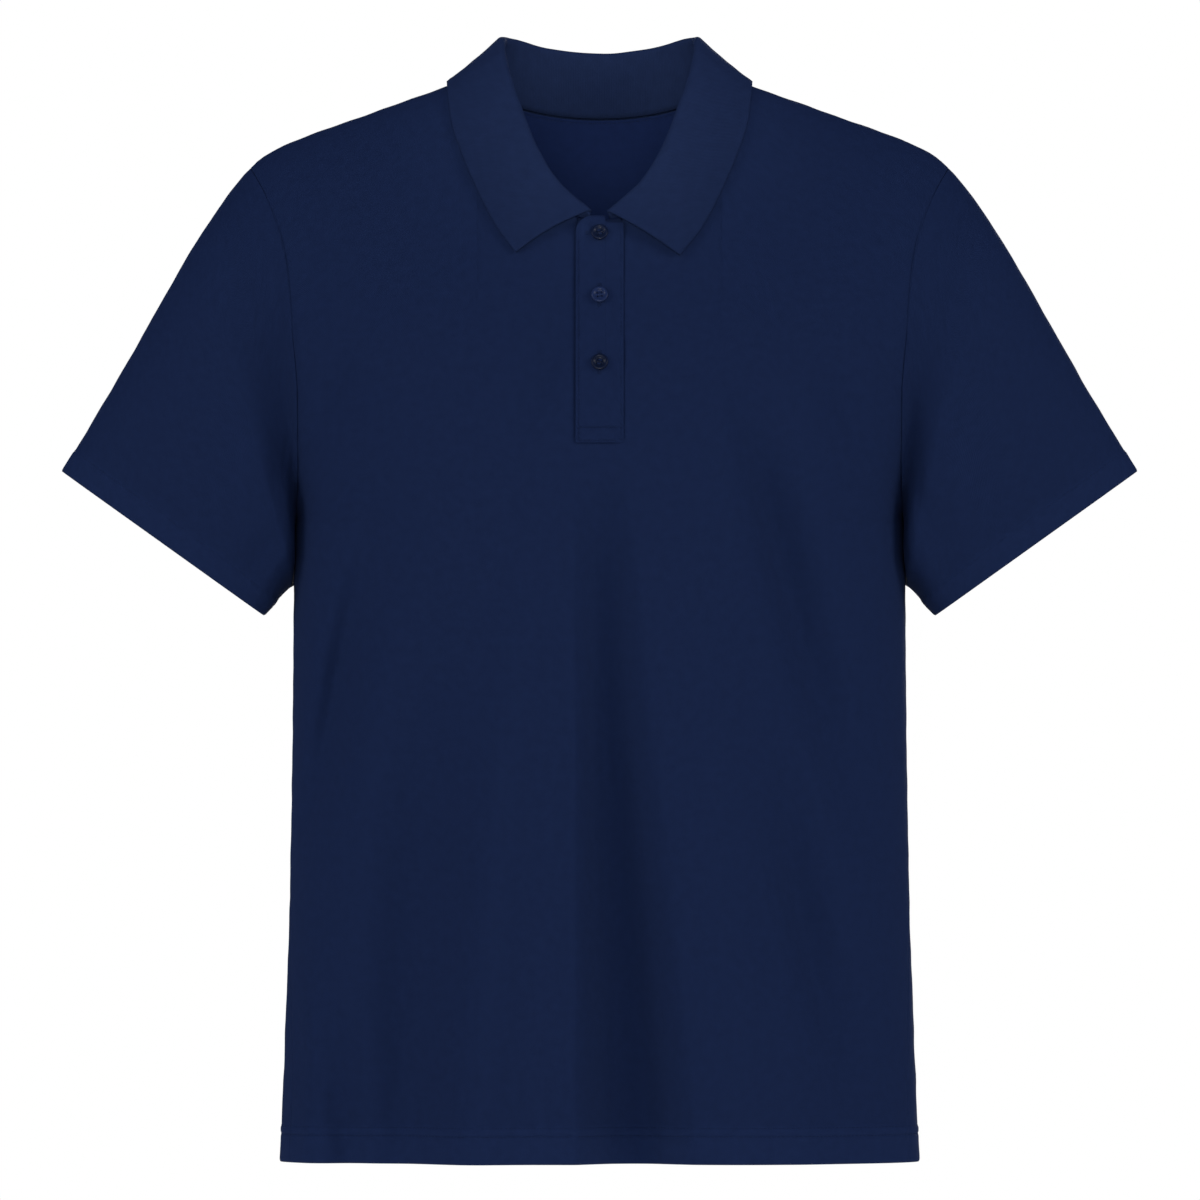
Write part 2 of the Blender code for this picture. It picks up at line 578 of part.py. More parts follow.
def sleeve_point(angle, share, sign):
    """The sleeve's outer surface: from the armhole (share 0) to its hem (share 1).

    The angle is 0 at the shoulder, 90 at the front and 180 at the armpit.
    """
    turn = math.radians(angle)
    up, forward = squared(angle, mix(2.0, CUFF_SQUARENESS, ease(share / SLEEVE_FILL)))
    start, end = armhole_point(up, forward, sign), cuff_point(up, forward, sign)
    start.x += sign * SLEEVE_SEAM_SHIFT
    point = start.lerp(end, share)
    crown = SLEEVE_CROWN * CROWN_SCALE * share * (1 - share) ** 3 * max(0.0, math.cos(turn)) ** 2
    bow = SLEEVE_BOW * math.sin(math.pi * share) * math.sin(turn)
    fold = sleeve_fold_out(angle, share, SLEEVE_FOLDS[sign])
    point += Vector((sign * 0.85, 0, 0.527)) * crown
    point.y -= bow
    aside = 0.45 * max(math.cos(turn), 0.0) + 0.1 * min(math.cos(turn), 0.0)
    point += Vector((sign * aside, -math.sin(turn), 0.3 * math.cos(turn))) * fold
    below = max(0.0, -math.cos(turn))
    inward, back, down = (read_off(UNDERARM, "share", column, share) for column in Underarm._fields[1:])
    point += Vector((-sign * inward, 0.0, -down)) * below ** 2
    point.y += back * below ** HANG_TURN
    if below and share:
        nearest = side_x(point.y, point.z) + mix(0.0, UNDERARM_CLEAR, min(share / 0.1, 1.0))
        point.x = sign * max(sign * point.x, nearest)
    return point


def make_sleeve(collection, name, sign):
    angles = sleeve_angles()

    def place(i, j):
        return sleeve_point(angles[i % len(angles)], SLEEVE_ROWS[j], sign)

    bm = grid_mesh(len(angles), len(SLEEVE_ROWS) - 1, place, closed=True)
    if sign < 0:
        bmesh.ops.reverse_faces(bm, faces=bm.faces)
    sleeve = finish_object(bm, name, collection, NAVY)
    add_wall(sleeve, CLOTH)
    return sleeve


def on_panel(x, drop_root, stand_off):
    """A point off a panel's outer surface, and the outward direction there.

    drop_root is the square root of how far the point lies below the shoulders' ridge, negative behind the ridge,
    so that equal steps of it are about equal steps along the cloth.
    """
    side = "front" if drop_root > 0 else "back"
    outward = -1 if side == "front" else 1
    z = shoulder_z(x) - max(drop_root * drop_root, 0.01)
    y = panel_y(x, z, side)
    across = (panel_y(x + 1, z, side) - panel_y(x - 1, z, side)) / 2
    down = panel_y(x, z - 0.5, side) - y
    normal = Vector((-across * outward, outward, down * 2 * outward)).normalized()
    return Vector((x, y, z)) + normal * stand_off, normal


def neck_seam_point(angle, sign):
    """Where the collar is sewn on: over the middle of the panels' wall at the neckline."""
    x = NECK_HALF * math.sin(math.radians(angle))
    side = 1 if angle <= 90 else -1
    z = neckline_z(x, "front" if angle <= 90 else "back")
    point, normal = on_panel(x, side * math.sqrt(shoulder_z(x) - z + 0.01), 0.0)
    point -= Vector((normal.x, normal.y, 0.0)) * CLOTH / 2
    point.z += SEAM_GAP + COLLAR_REST + COLLAR_SIDE_REST * math.sin(math.radians(angle)) ** 12
    point.x *= sign
    return point


def collar_rib(angle, sign):
    """The rib that starts at an angle round the neck seam on the wearer's right (-1) or left (1)."""
    last = COLLAR_RIBS[-2]
    past_middle = last._replace(seam=360 - last.seam, fold_x=-last.fold_x, edge_x=-last.edge_x)
    ribs = (COLLAR_ENDS[sign],) + COLLAR_RIBS + (past_middle,)
    return Rib(*(read_off(ribs, "seam", column, angle) for column in Rib._fields))


def collar_stations():
    """(angle, sign) of the collar's sections, which meet the panels' neckline at its own points."""
    quarter = [math.degrees(math.asin(x / NECK_HALF)) for x in NECK_COLUMNS]
    half = [COLLAR_RIBS[-1].seam - angle for angle in quarter] + quarter[::-1][1:-1] + [COLLAR_ENDS[1].seam]
    return [(angle, -1) for angle in half[::-1]] + [(angle, 1) for angle in half[1:]]


def collar_section(angle, sign):
    """Points across the collar from the neck seam up the stand, over the roll and down the fall."""
    rib = collar_rib(angle, sign)
    seam = neck_seam_point(rib.seam, sign)
    fold = Vector((sign * rib.fold_x, rib.fold_y, rib.fold_z))
    edge, _ = on_panel(rib.edge_x, rib.edge_drop, rib.stand_off)
    edge.x *= sign
    middle = (seam + edge) / 2
    up = (fold - middle).normalized()
    out = (edge - seam)
    out = (out - up * out.dot(up)).normalized()
    centre = fold - up * rib.roll
    inner_top, outer_top = centre - out * rib.roll, centre + out * rib.roll
    points = [seam.lerp(inner_top, k / 4) - out * 1.2 * math.sin(math.pi * k / 4) for k in range(4)]
    for step in range(5):
        turn = math.pi * step / 4
        points.append(centre + rib.roll * (up * math.sin(turn) - out * math.cos(turn)))
    for k in range(1, 6):
        points.append(outer_top.lerp(edge, k / 5) + out * rib.bow * math.sin(math.pi * k / 5))
    return points


def make_collar(collection):
    sections = [collar_section(angle, sign) for angle, sign in collar_stations()]
    bm = grid_mesh(len(sections) - 1, len(sections[0]) - 1, lambda i, j: sections[i][j])
    collar = finish_object(bm, "collar", collection, NAVY_COLLAR)
    add_wall(collar, COLLAR_CLOTH, offset=0.0)
    return collar


def placket_top_edge(x):
    """Upper edge of the top placket: a round free corner, level, then lower where the collar covers it."""
    if x > PLACKET_SHELF_X:
        return PLACKET_SHELF_Z
    from_corner = PLACKET_CORNER - (x + PLACKET_HALF)
    if from_corner <= 0:
        return PLACKET_TOP_Z
    return PLACKET_TOP_Z - PLACKET_CORNER + math.sqrt(max(0.0, PLACKET_CORNER ** 2 - from_corner ** 2))


def front_y(x, z):
    """The front panel's outer surface, folds and seam gap included, near the middle."""
    return panel_y(x, z, "front") - fold_out(x, z, FRONT_FOLDS) - SEAM_GAP / 2


def placket_lift(x, z):
    """How far the free corner of the top placket is pushed out by the collar's end under it."""
    return COLLAR_LIFT * ease((-3 - x) / 7) * ease((z + 112) / 14)


def make_placket_top(collection):
    xs = (-PLACKET_HALF, -15.6, -13.2, -9.0, -4.5, 0.0, 3.8, 4.6, 10.5, PLACKET_HALF)
    rows = 14

    def place(i, j):
        x = xs[i]
        z = mix(PLACKET_FOOT_Z, placket_top_edge(x), j / rows)
        return x, front_y(x, z) - LAY_GAP - CLOTH - placket_lift(x, z), z

    bm = grid_mesh(len(xs) - 1, rows, place)
    placket = finish_object(bm, "placket_top", collection, NAVY)
    add_wall(placket, CLOTH)
    return placket


def make_placket_under(collection):
    reach = SLOT_HALF - SEAM_GAP
    xs = (-reach, -reach / 3, reach / 3, reach)
    rows = 12

    def place(i, j):
        x = xs[i]
        z = mix(SLOT_FOOT_Z + SEAM_GAP, neckline_z(x, "front"), j / rows)
        return x, front_y(x, z), z

    bm = grid_mesh(len(xs) - 1, rows, place)
    placket = finish_object(bm, "placket_under", collection, NAVY)
    add_wall(placket, CLOTH)
    return placket


def button_profile():
    """Radius and height of the button's upper side, then its edge and back, from the middle outward."""
    r, t = BUTTON_RADIUS, BUTTON_THICKNESS
    return ((0.0, 0.62 * t), (0.46 * r, 0.62 * t), (0.60 * r, 0.74 * t), (0.74 * r, t), (0.90 * r, t),
            (r, 0.80 * t), (r, 0.35 * t), (0.86 * r, 0.0), (0.0, 0.0))


def make_button(collection, cutters, number, z):
    """A four-hole button that faces the front, on the top placket."""
    name = f"button_{number}"
    bm = bmesh.new()
    verts = [bm.verts.new((radius * MM, 0.0, height * MM)) for radius, height in button_profile()]
    for a, b in zip(verts, verts[1:]):
        bm.edges.new((a, b))
    button = finish_object(bm, name, collection, NAVY_BUTTON, 0.35)
    turned = button.modifiers.new("turned", "SCREW")
    turned.axis = "Z"
    turned.steps = 24
    turned.render_steps = 24
    turned.use_merge_vertices = True
    turned.merge_threshold = 0.00001
    turned.use_normal_flip = True
    surface = front_y(BUTTON_X, z) - LAY_GAP - CLOTH
    slope = (front_y(BUTTON_X, z + 3) - front_y(BUTTON_X, z - 3)) / 6
    tilt = math.atan(slope)
    button.location = Vector((BUTTON_X, surface - SEAM_GAP - BUTTON_SHANK, z)) * MM
    button.rotation_euler = (math.pi / 2 - tilt, 0.0, 0.0)
    for sx in (-1, 1):
        for sz in (-1, 1):
            bpy.ops.mesh.primitive_cylinder_add(vertices=8, radius=HOLE_RADIUS * MM, depth=3 * BUTTON_THICKNESS * MM)
            hole = bpy.context.object
            hole.name = f"{name}_hole_{sx + 1}{sz + 1}"
            hole.parent = button
            hole.location = Vector((sx * HOLE_SPACING, sz * HOLE_SPACING, BUTTON_THICKNESS / 2)) * MM
            hole.display_type = "WIRE"
            hole.hide_render = True
            for other in hole.users_collection:
                other.objects.unlink(hole)
            cutters.objects.link(hole)
            cut = button.modifiers.new("hole", "BOOLEAN")
            cut.operation = "DIFFERENCE"
            cut.solver = "EXACT"
            cut.object = hole
    return button


def new_collection(name):
    made = bpy.data.collections.new(name)
    bpy.context.scene.collection.children.link(made)
    return made


def main():
    for old in list(bpy.data.objects):
        bpy.data.objects.remove(old, do_unlink=True)
    shirt = new_collection("polo_shirt")
    cutters = new_collection("cutters")
    make_front(shirt)
    make_back(shirt)
    make_sleeve(shirt, "sleeve_right", -1)
    make_sleeve(shirt, "sleeve_left", 1)
    make_collar(shirt)
    make_placket_top(shirt)
    make_placket_under(shirt)
    for number, z in enumerate(BUTTON_ZS, 1):
        make_button(shirt, cutters, number, z)


main()
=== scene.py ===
"""Polo shirt: makes the looks of a short-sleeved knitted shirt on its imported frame.

Every piece of cloth is a sheet of points worked out from the cut's own sizes, with a wall on its inner side.
Tables and working sizes are in millimetres; a point becomes metres only in a mesh. +X is the wearer's left,
+Y the wearer's back and +Z up.
"""

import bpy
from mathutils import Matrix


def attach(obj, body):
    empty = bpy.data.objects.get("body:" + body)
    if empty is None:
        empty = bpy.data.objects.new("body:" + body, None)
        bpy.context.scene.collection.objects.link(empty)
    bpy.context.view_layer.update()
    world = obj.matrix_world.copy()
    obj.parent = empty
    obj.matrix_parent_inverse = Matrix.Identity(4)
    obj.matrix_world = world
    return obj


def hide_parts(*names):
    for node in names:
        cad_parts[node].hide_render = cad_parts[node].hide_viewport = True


bl_info = {
    "name": "Polo shirt",
    "version": (1, 0, 0),
    "blender": (4, 5, 0),
    "location": "View3D > Sidebar > Polo shirt",
    "description": "Makes the cloth, stitching and buttons of a knitted polo shirt on its packed frame",
    "category": "Object",
}

import math
from collections import namedtuple

import bmesh
import bpy
import numpy as np
from bpy.props import FloatProperty, FloatVectorProperty, PointerProperty
from mathutils import Matrix, Vector

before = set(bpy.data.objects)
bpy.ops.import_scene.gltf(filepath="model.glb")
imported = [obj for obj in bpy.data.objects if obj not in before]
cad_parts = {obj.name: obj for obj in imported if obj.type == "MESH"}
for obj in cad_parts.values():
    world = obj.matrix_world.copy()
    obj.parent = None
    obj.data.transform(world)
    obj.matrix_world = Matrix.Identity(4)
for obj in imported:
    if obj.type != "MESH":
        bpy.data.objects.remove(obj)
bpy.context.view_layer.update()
MM = 0.001


def table(row, rows):
    """A table's rows, each with the names of its columns."""
    return tuple(row(*values) for values in rows)


# ---- the cut's sizes, mm -----------------------------------------------------
HEM_Z = -743.7
SEAM_GAP = 0.3              # between pieces that are sewn together
PANEL_GAP = -0.1            # the front and the back press this far into each other at their seams
LAY_GAP = 0.45              # between the placket and the front it lies on
SLEEVE_SEAM_SHIFT = 0.65    # how far a sleeve starts outside the armhole's edge
COLLAR_REST = 0.5           # more above the neckline, because the collar's wall leans and is thicker
COLLAR_SIDE_REST = 1.1      # and more again over the shoulder seams, where the neckline turns sharply

NECK_HALF = 84.0            # half the neck opening's width
NECK_SIDE_Z = 3.0           # height of the side-neck points
FRONT_NECK_DROP = 100.5     # from the side-neck points down to the front neckline
BACK_NECK_DROP = 29.0       # and down to the back neckline
NECK_RISE = 15.0            # how far the shoulder surface would still climb to the middle of the neck

SHOULDER_TIP_X = 240.0
SHOULDER_TIP_Z = -60.5
ARMPIT_Z = -305.0
ARMHOLE_FRONT = 57.0        # how far the armhole reaches to the front of the shoulder seam
ARMHOLE_BACK = 60.0         # and to the back
CHEST_Z = (SHOULDER_TIP_Z + ARMPIT_Z) / 2     # rows are level below it

FRONT_ROUNDING = 250.0      # height over which the front curves from the shoulders to its full depth
BACK_ROUNDING = 200.0
SQUARENESS = 2.4            # exponent of the body's sections: 2 is an ellipse
CUFF_SQUARENESS = 4.4       # and of the sleeve's hem
ARMPIT_BLEND = 70.0         # height over which the sections above the armpits take the armhole's width
SEAM_TURN = 18.0            # degrees of a section over which its edge is drawn in to the seam

CUFF_OUTER = (369.6, -269.3)      # x and z of the outer and inner ends of the sleeve's hem
CUFF_INNER = (231.0, -368.3)
CUFF_DEPTH = 60.0                 # front to back
CUFF_Y = -3.0
SLEEVE_CROWN = 4.3                # how far the top of the sleeve bows outward
CROWN_SCALE = 9.48                # makes share * (1 - share) ** 3 peak at 1
SLEEVE_BOW = 9.0                  # how far the sleeve's front and back bow outward
SLEEVE_FILL = 0.35                # share of its length over which its sections turn as square as the hem
FOLD_START = 0.8                  # how early a fold that starts at the armhole reaches its depth

PLACKET_HALF = 16.5
PLACKET_TOP_Z = -94.3
PLACKET_FOOT_Z = -250.4
PLACKET_CORNER = 12.0       # radius of its free upper corner
PLACKET_SHELF_X = 3.9       # past this the top edge is under the collar
PLACKET_SHELF_Z = -98.4
SLOT_HALF = 15.5            # half the slot in the front, which the under placket fills
SLOT_FOOT_Z = -247.0
COLLAR_LIFT = 3.2           # the free corner of the placket lies over the collar's end

BUTTON_ZS = (-106.3, -149.3, -195.4)
BUTTON_THICKNESS = 2.4
BUTTON_SHANK = 0.2          # more than the seam gap off the placket, as its thread holds it
HOLE_RADIUS = 0.75
HOLE_SPACING = 1.35         # from the button's middle, both ways

# Sections of the body: half the width below the armpits, how far the front and back stand from the shoulder
# seams' plane, how far the side is tucked in at its seam, and how far the side seam lies to the front.
Section = namedtuple("Section", "z half_width front back tuck seam_forward")
SECTIONS = table(Section, (
    (HEM_Z, 219.5, 112.0, 112.0, 0.0, 38.0),
    (-700.0, 218.0, 112.0, 109.6, 0.0, 38.0),
    (-620.0, 215.0, 112.4, 107.2, 0.0, 28.0),
    (-560.0, 213.0, 113.0, 106.8, 0.0, 16.0),
    (-450.0, 211.0, 115.2, 109.0, 0.0, 4.0),
    (-345.0, 210.3, 118.0, 114.6, 0.2, 0.0),
    (-320.0, 210.3, 118.4, 116.1, 1.1, 0.0),
    (-305.0, 210.3, 118.5, 116.9, 1.8, 0.0),
    (-260.0, 210.3, 117.6, 118.6, 0.0, 0.0),
    (-230.0, 210.3, 114.8, 118.9, 0.0, 0.0),
    (-183.0, 210.3, 104.8, 117.6, 0.0, 0.0),
    (-150.0, 210.3, 95.8, 115.2, 0.0, 0.0),
    (-97.0, 210.3, 80.5, 109.4, 0.0, 0.0),
    (-60.0, 210.3, 72.5, 103.6, 0.0, 0.0),
    (-26.0, 210.3, 67.5, 97.2, 0.0, 0.0),
    (20.0, 210.3, 63.0, 88.0, 0.0, 0.0),
))

# The shoulder seam from the side-neck point to the shoulder tip.
Shoulder = namedtuple("Shoulder", "x z")
SHOULDER = table(Shoulder, (
    (84.0, 3.0), (112.0, -7.0), (150.0, -20.6), (189.0, -34.4), (210.0, -42.2), (225.0, -49.2),
    (234.0, -55.2), (240.0, -60.5),
))

# How far out the armhole seam lies at each height, from the armpit to the shoulder tip.
Armhole = namedtuple("Armhole", "z x")
ARMHOLE = table(Armhole, (
    (-305.0, 208.5), (-290.0, 207.7), (-261.0, 206.9), (-217.0, 207.1), (-173.0, 210.5), (-135.0, 214.0),
    (-117.0, 217.0), (-95.0, 223.0), (-77.0, 230.5), (-68.0, 235.5), (-60.5, 240.0),
))

# Main folds of the body: three points of each line, its width at both ends, how far it stands out at the
# points (a trough is negative), and how much narrower it is on its -X side and wider on the other.
Fold = namedtuple("Fold", "x1 z1 x2 z2 x3 z3 width1 width3 out1 out2 out3 lean")
FRONT_FOLDS = table(Fold, (
    (-36, -262, -66, -480, -90, HEM_Z, 18, 26, 0.0, 9.0, 16.0, 0.0),
    (66, -300, 86, -520, 106, HEM_Z, 20, 30, 0.0, 6.0, 9.0, 0.0),
    (-156, -290, -184, -425, -208, -545, 15, 15, 0.0, -17.0, 0.0, 0.4),
    (-114, -330, -128, -564, -136, HEM_Z, 24, 31, 0.0, -18.0, -21.0, 0.0),
    (-184, -600, -180, -690, -174, HEM_Z, 12, 15, 0.0, -11.0, -15.0, 0.2),
    (-186, -570, -193, -650, -199, HEM_Z, 12, 13, 0.0, 4.0, 3.5, 0.0),
    (94, -195, 124, -335, 184, -545, 17, 17, 0.0, -18.0, 0.0, 0.4),
    (122, -455, 138, -580, 182, -715, 15, 17, 0.0, -14.0, 0.0, 0.4),
    (128, -600, 138, -690, 142, HEM_Z, 15, 22, 0.0, 5.0, 7.0, 0.0),
    (158, -185, 169, -225, 182, -262, 9, 10, 0.0, -4.5, 0.0, 0.0),
    (-174, -178, -184, -215, -195, -252, 9, 10, 0.0, -4.5, 0.0, 0.0),
    (-26, -160, -40, -208, -60, -256, 8, 12, 0.0, -5.0, 0.0, 0.0),
))
BACK_FOLDS = table(Fold, (
    (0, -150, -6, -420, -14, HEM_Z, 22, 36, 0.0, -9.0, -19.0, -0.1),
    (60, -230, 66, -480, 74, HEM_Z, 22, 30, 0.0, 6.0, 10.0, 0.0),
    (-62, -260, -74, -500, -88, HEM_Z, 22, 30, 0.0, 5.0, 9.0, 0.0),
    (122, -330, 132, -540, 140, HEM_Z, 18, 26, 0.0, -8.5, -12.0, 0.0),
    (-128, -300, -140, -540, -146, HEM_Z, 18, 26, 0.0, -8.5, -11.0, 0.0),
    (148, -120, 166, -190, 186, -262, 12, 12, 0.0, -5.0, 0.0, 0.0),
    (-146, -124, -168, -200, -188, -266, 12, 12, 0.0, -5.0, 0.0, 0.0),
    (176, -560, 184, -650, 186, HEM_Z, 14, 18, 0.0, 4.5, 6.0, 0.0),
    (-180, -540, -186, -650, -188, HEM_Z, 14, 18, 0.0, 4.5, 6.0, 0.0),
))

# The front's middle trough, a soft pleat under the placket: where it starts on the wearer's right, the two
# sides of its floor, where it ends at each height, and how deep it is.
Pleat = namedtuple("Pleat", "z start floor1 floor2 end depth")
FRONT_PLEAT = table(Pleat, (
    (HEM_Z, -15.5, 8.0, 38.0, 70.0, 36.0),
    (-600.0, -15.5, 4.0, 26.0, 57.0, 31.0),
    (-440.0, -15.5, -1.0, 13.0, 38.5, 21.0),
    (-350.0, -16.0, 1.0, 8.0, 30.0, 15.0),
    (-300.0, -16.5, 2.0, 7.0, 23.0, 9.0),
    (-268.0, -16.5, 2.0, 6.0, 17.0, 0.0),
))
PLEAT_ROUND = 0.16          # how round its floor's edges are, as a share of its depth
PLEAT_CREST = 0.05          # and the crests on both sides
PLEAT_RISE = 1.4            # exponent of its rise on the wearer's left: 1 is a straight slope

# Folds of a sleeve: the angle round it (0 at the top, 90 at the front, 180 below), where along it they start
# and end, how much the angle turns on the way, and their width in degrees and depth.
SleeveFold = namedtuple("SleeveFold", "angle start end turn width out")
SLEEVE_FOLDS = {
    -1: table(SleeveFold, (
        (96, 0.00, 0.36, -4, 32, -10.0),
        (134, 0.00, 0.22, 0, 24, -7.0),
        (142, 0.00, 0.90, -6, 20, 7.0),
        (136, 0.16, 0.90, -24, 9, -5.0),
        (84, 0.34, 0.96, 14, 10, -2.4),
        (256, 0.02, 0.62, 10, 15, -5.5),
        (222, 0.14, 0.86, 22, 11, -3.2),
    )),
    1: table(SleeveFold, (
        (106, 0.00, 0.30, -4, 22, -6.5),
        (136, 0.00, 0.22, 0, 24, -8.0),
        (141, 0.00, 0.90, -6, 20, 8.0),
        (122, 0.12, 0.84, -16, 10, -4.2),
        (80, 0.30, 0.94, 12, 10, -2.2),
        (252, 0.02, 0.60, 8, 15, -5.5),
        (226, 0.12, 0.84, 20, 11, -3.2),
    )),
}

# How far a sleeve's underside hangs inward, back and down, from the armhole (share 0) to its hem.
Underarm = namedtuple("Underarm", "share inward back down")
UNDERARM = table(Underarm, (
    (0.0, 0.0, 0.0, 0.0),
    (0.08, 3.0, 12.0, 6.0),
    (0.16, 5.4, 22.0, 12.0),
    (0.25, 7.0, 29.0, 17.2),
    (0.33, 7.2, 31.0, 19.8),
    (0.45, 4.7, 21.0, 16.5),
    (0.6, 3.0, 11.0, 12.2),
    (0.8, 1.5, 3.0, 6.4),
    (1.0, 0.0, 0.0, 0.0),
))
UNDERARM_CLEAR = 1.5        # least distance from the body's side
HANG_TURN = 13              # how sharply the underside turns back: the power of its share of the way down

# Smaller creases of the body: x and z of both ends, how far the line bows aside, its width and its height.
Crease = namedtuple("Crease", "x1 z1 x2 z2 bow width out")
FRONT_CREASES = table(Crease, (
    (-196, -250, -150, -206, 5, 6, -0.9),
    (-198, -268, -140, -262, 4, 7, -1.0),
    (196, -256, 148, -218, -5, 6, -0.9),
    (198, -276, 146, -262, -4, 7, -0.9),
    (-60, -52, -150, -100, 8, 12, -0.7),
    (64, -56, 152, -98, -8, 12, -0.7),
    (-40, -110, -26, -190, -4, 7, -0.8),
    (-30, -262, -86, -320, 6, 9, -0.8),
    (34, -268, 70, -330, -6, 9, -0.7),
    (-176, -330, -120, -420, 8, 9, -0.9),
    (182, -330, 132, -440, -8, 9, -0.8),
    (-100, -480, -92, -640, 6, 9, -1.1),
    (60, -560, 66, -720, -5, 9, -0.9),
    (108, -520, 120, -640, 4, 8, -0.9),
    (-150, -640, -146, -738, 4, 8, 1.0),
    (-21, -262, -22, -1000, -2, 6, 1.1),
))
BACK_CREASES = table(Crease, (
    (190, -256, 140, -210, -5, 7, -1.0),
    (-192, -256, -142, -214, 5, 7, -1.0),
    (70, -30, 150, -84, -8, 13, -0.8),
    (-72, -30, -148, -82, 8, 13, -0.8),
    (26, -60, 40, -200, 6, 14, -0.9),
    (-34, -64, -44, -220, -6, 14, -0.9),
    (100, -420, 96, -600, 6, 9, -1.0),
    (-104, -400, -108, -590, -6, 9, -1.0),
    (30, -560, 34, -720, 4, 9, -0.9),
    (180, -330, 120, -430, -8, 9, -0.9),
    (-178, -330, -124, -436, 8, 9, -0.9),
))

# Smaller creases of a sleeve: the angle round it and the share of its length at both ends, and their width in
# degrees and depth.
SleeveCrease = namedtuple("SleeveCrease", "angle1 share1 angle2 share2 width out")
SLEEVE_CREASES = table(SleeveCrease, (
    (60, 0.02, 74, 0.34, 7, -1.0),
    (120, 0.04, 96, 0.60, 7, -1.2),
    (150, 0.30, 112, 0.88, 6, -1.1),
    (36, 0.05, 40, 0.40, 8, -0.7),
    (300, 0.02, 286, 0.36, 7, -1.0),
    (238, 0.05, 262, 0.62, 7, -1.2),
    (206, 0.30, 246, 0.88, 6, -1.0),
    (326, 0.05, 320, 0.42, 8, -0.7),
))

# Ribs of the collar from its front end to the middle of the back: the angle round the neck where each starts
# (0 at the front), the top of its roll, the roll's radius, and where its outer edge lies on the shirt: x, the
# square root of the drop below the shoulders' ridge (negative behind it), and how far off the cloth it is.
# The last column is how far the fall bows outward between the roll and the edge.
Rib = namedtuple("Rib", "seam fold_x fold_y fold_z roll edge_x edge_drop stand_off bow")
COLLAR_RIBS = (
    Rib(22, 29.0, -69.0, -71.0, 2.2, 69.5, 10.55, 2.2, 3.0),
    Rib(42, 44.0, -60.0, -46.8, 2.6, 83.0, 9.00, 2.2, 3.0),
    Rib(62, 54.5, -43.0, -20.0, 3.0, 94.5, 7.06, 2.0, 2.6),
    Rib(78, 62.5, -24.0, 4.0, 3.0, 101.5, 4.93, 1.8, 1.4),
    Rib(92, 66.0, -2.0, 21.8, 3.0, 103.6, 1.64, 2.6, 0.3),
    Rib(106, 65.8, 17.0, 28.8, 3.0, 102.4, -2.0, 2.6, 0.2),
    Rib(124, 58.5, 37.0, 28.0, 3.0, 92.0, -4.2, 2.0, 0.8),
    Rib(150, 34.0, 54.0, 21.8, 3.0, 58.0, -6.3, 2.4, 1.6),
    Rib(180, 0.0, 60.0, 18.6, 3.0, 0.0, -7.25, 2.6, 2.0),
)
COLLAR_ENDS = {
    -1: Rib(5, 6.0, -69.0, -91.6, 1.5, 57.4, 11.47, 2.0, 3.0),
    1: Rib(5, 5.6, -71.8, -92.0, 1.6, 54.7, 11.60, 3.0, 3.0),
}

# Where the columns inside the neck's width stand at the top and at the waist, and where they start to bend.
NECK_COLUMNS = (0.0, SLOT_HALF, 31.0, 46.0, 60.0, 71.0, 78.5, 82.4, 83.7, NECK_HALF)
WAIST_COLUMNS = (0.0, SLOT_HALF, 25.0, 34.0, 43.0, 52.0, 61.0, 69.5, 77.0, NECK_HALF)
COLUMNS_BEND_Z = -340.0
COLUMNS_BEND = 200.0        # height over which they bend
TOP_COLUMNS = 30            # columns of a panel between the slot and the side of the neck, on each side
SIDE_COLUMNS = 34           # and from there to its side seam
# Heights of a panel's lowest rows, closer together at the hem's edge and stitches.
HEM_ROWS = (0, 0.5, 1.2, 2.5, 5, 8, 11, 14, 16.5, 18.0, 18.8, 19.4, 20.0, 20.8, 22.0, 23.2, 24.2, 24.9, 25.5,
            26.2, 27.2, 29.0, 32.0)
LAST_SHARES = (0.99, 0.996, 1.0)        # a panel's lines stand closer together at its seams

OTHER_SIDE = {"front": "back", "back": "front"}
WAVES = ((37, 61), (-52, 43), (83, -29), (24, 97), (-19, 33), (29, 17))    # of the unevenness, both ways
CREASE_FADE = 1.4           # exponent of a small crease's fade towards its ends
FOLD_LEAN = 0.8             # how far a fold at the side seam stands outward rather than forward


# ---- sizes and colours that a user would change ------------------------------
class PoloSizes(bpy.types.PropertyGroup):
    cloth: FloatProperty(
        name="Cloth", description="Thickness of the pique knit", default=0.0015, unit="LENGTH")
    collar_cloth: FloatProperty(
        name="Collar cloth", description="Thickness of the collar's knit", default=0.002, unit="LENGTH")
    body_hem: FloatProperty(
        name="Body hem", description="Depth of the body's turned hem", default=0.025, unit="LENGTH")
    cuff_hem: FloatProperty(
        name="Sleeve hem", description="Depth of the sleeves' turned hem", default=0.017, unit="LENGTH")
    needle_gap: FloatProperty(
        name="Needle gap", description="Between a hem's two rows of stitches", default=0.0058, unit="LENGTH")
    stitch: FloatProperty(name="Stitch", description="Length of one stitch", default=0.0026, unit="LENGTH")
    thread: FloatProperty(name="Thread", description="Thickness of the thread", default=0.0005, unit="LENGTH")
    button: FloatProperty(name="Button", description="Radius of a button", default=0.0057, unit="LENGTH")
    creasing: FloatProperty(
        name="Creasing", description="Depth of the small creases", default=1.0, min=0, max=3)


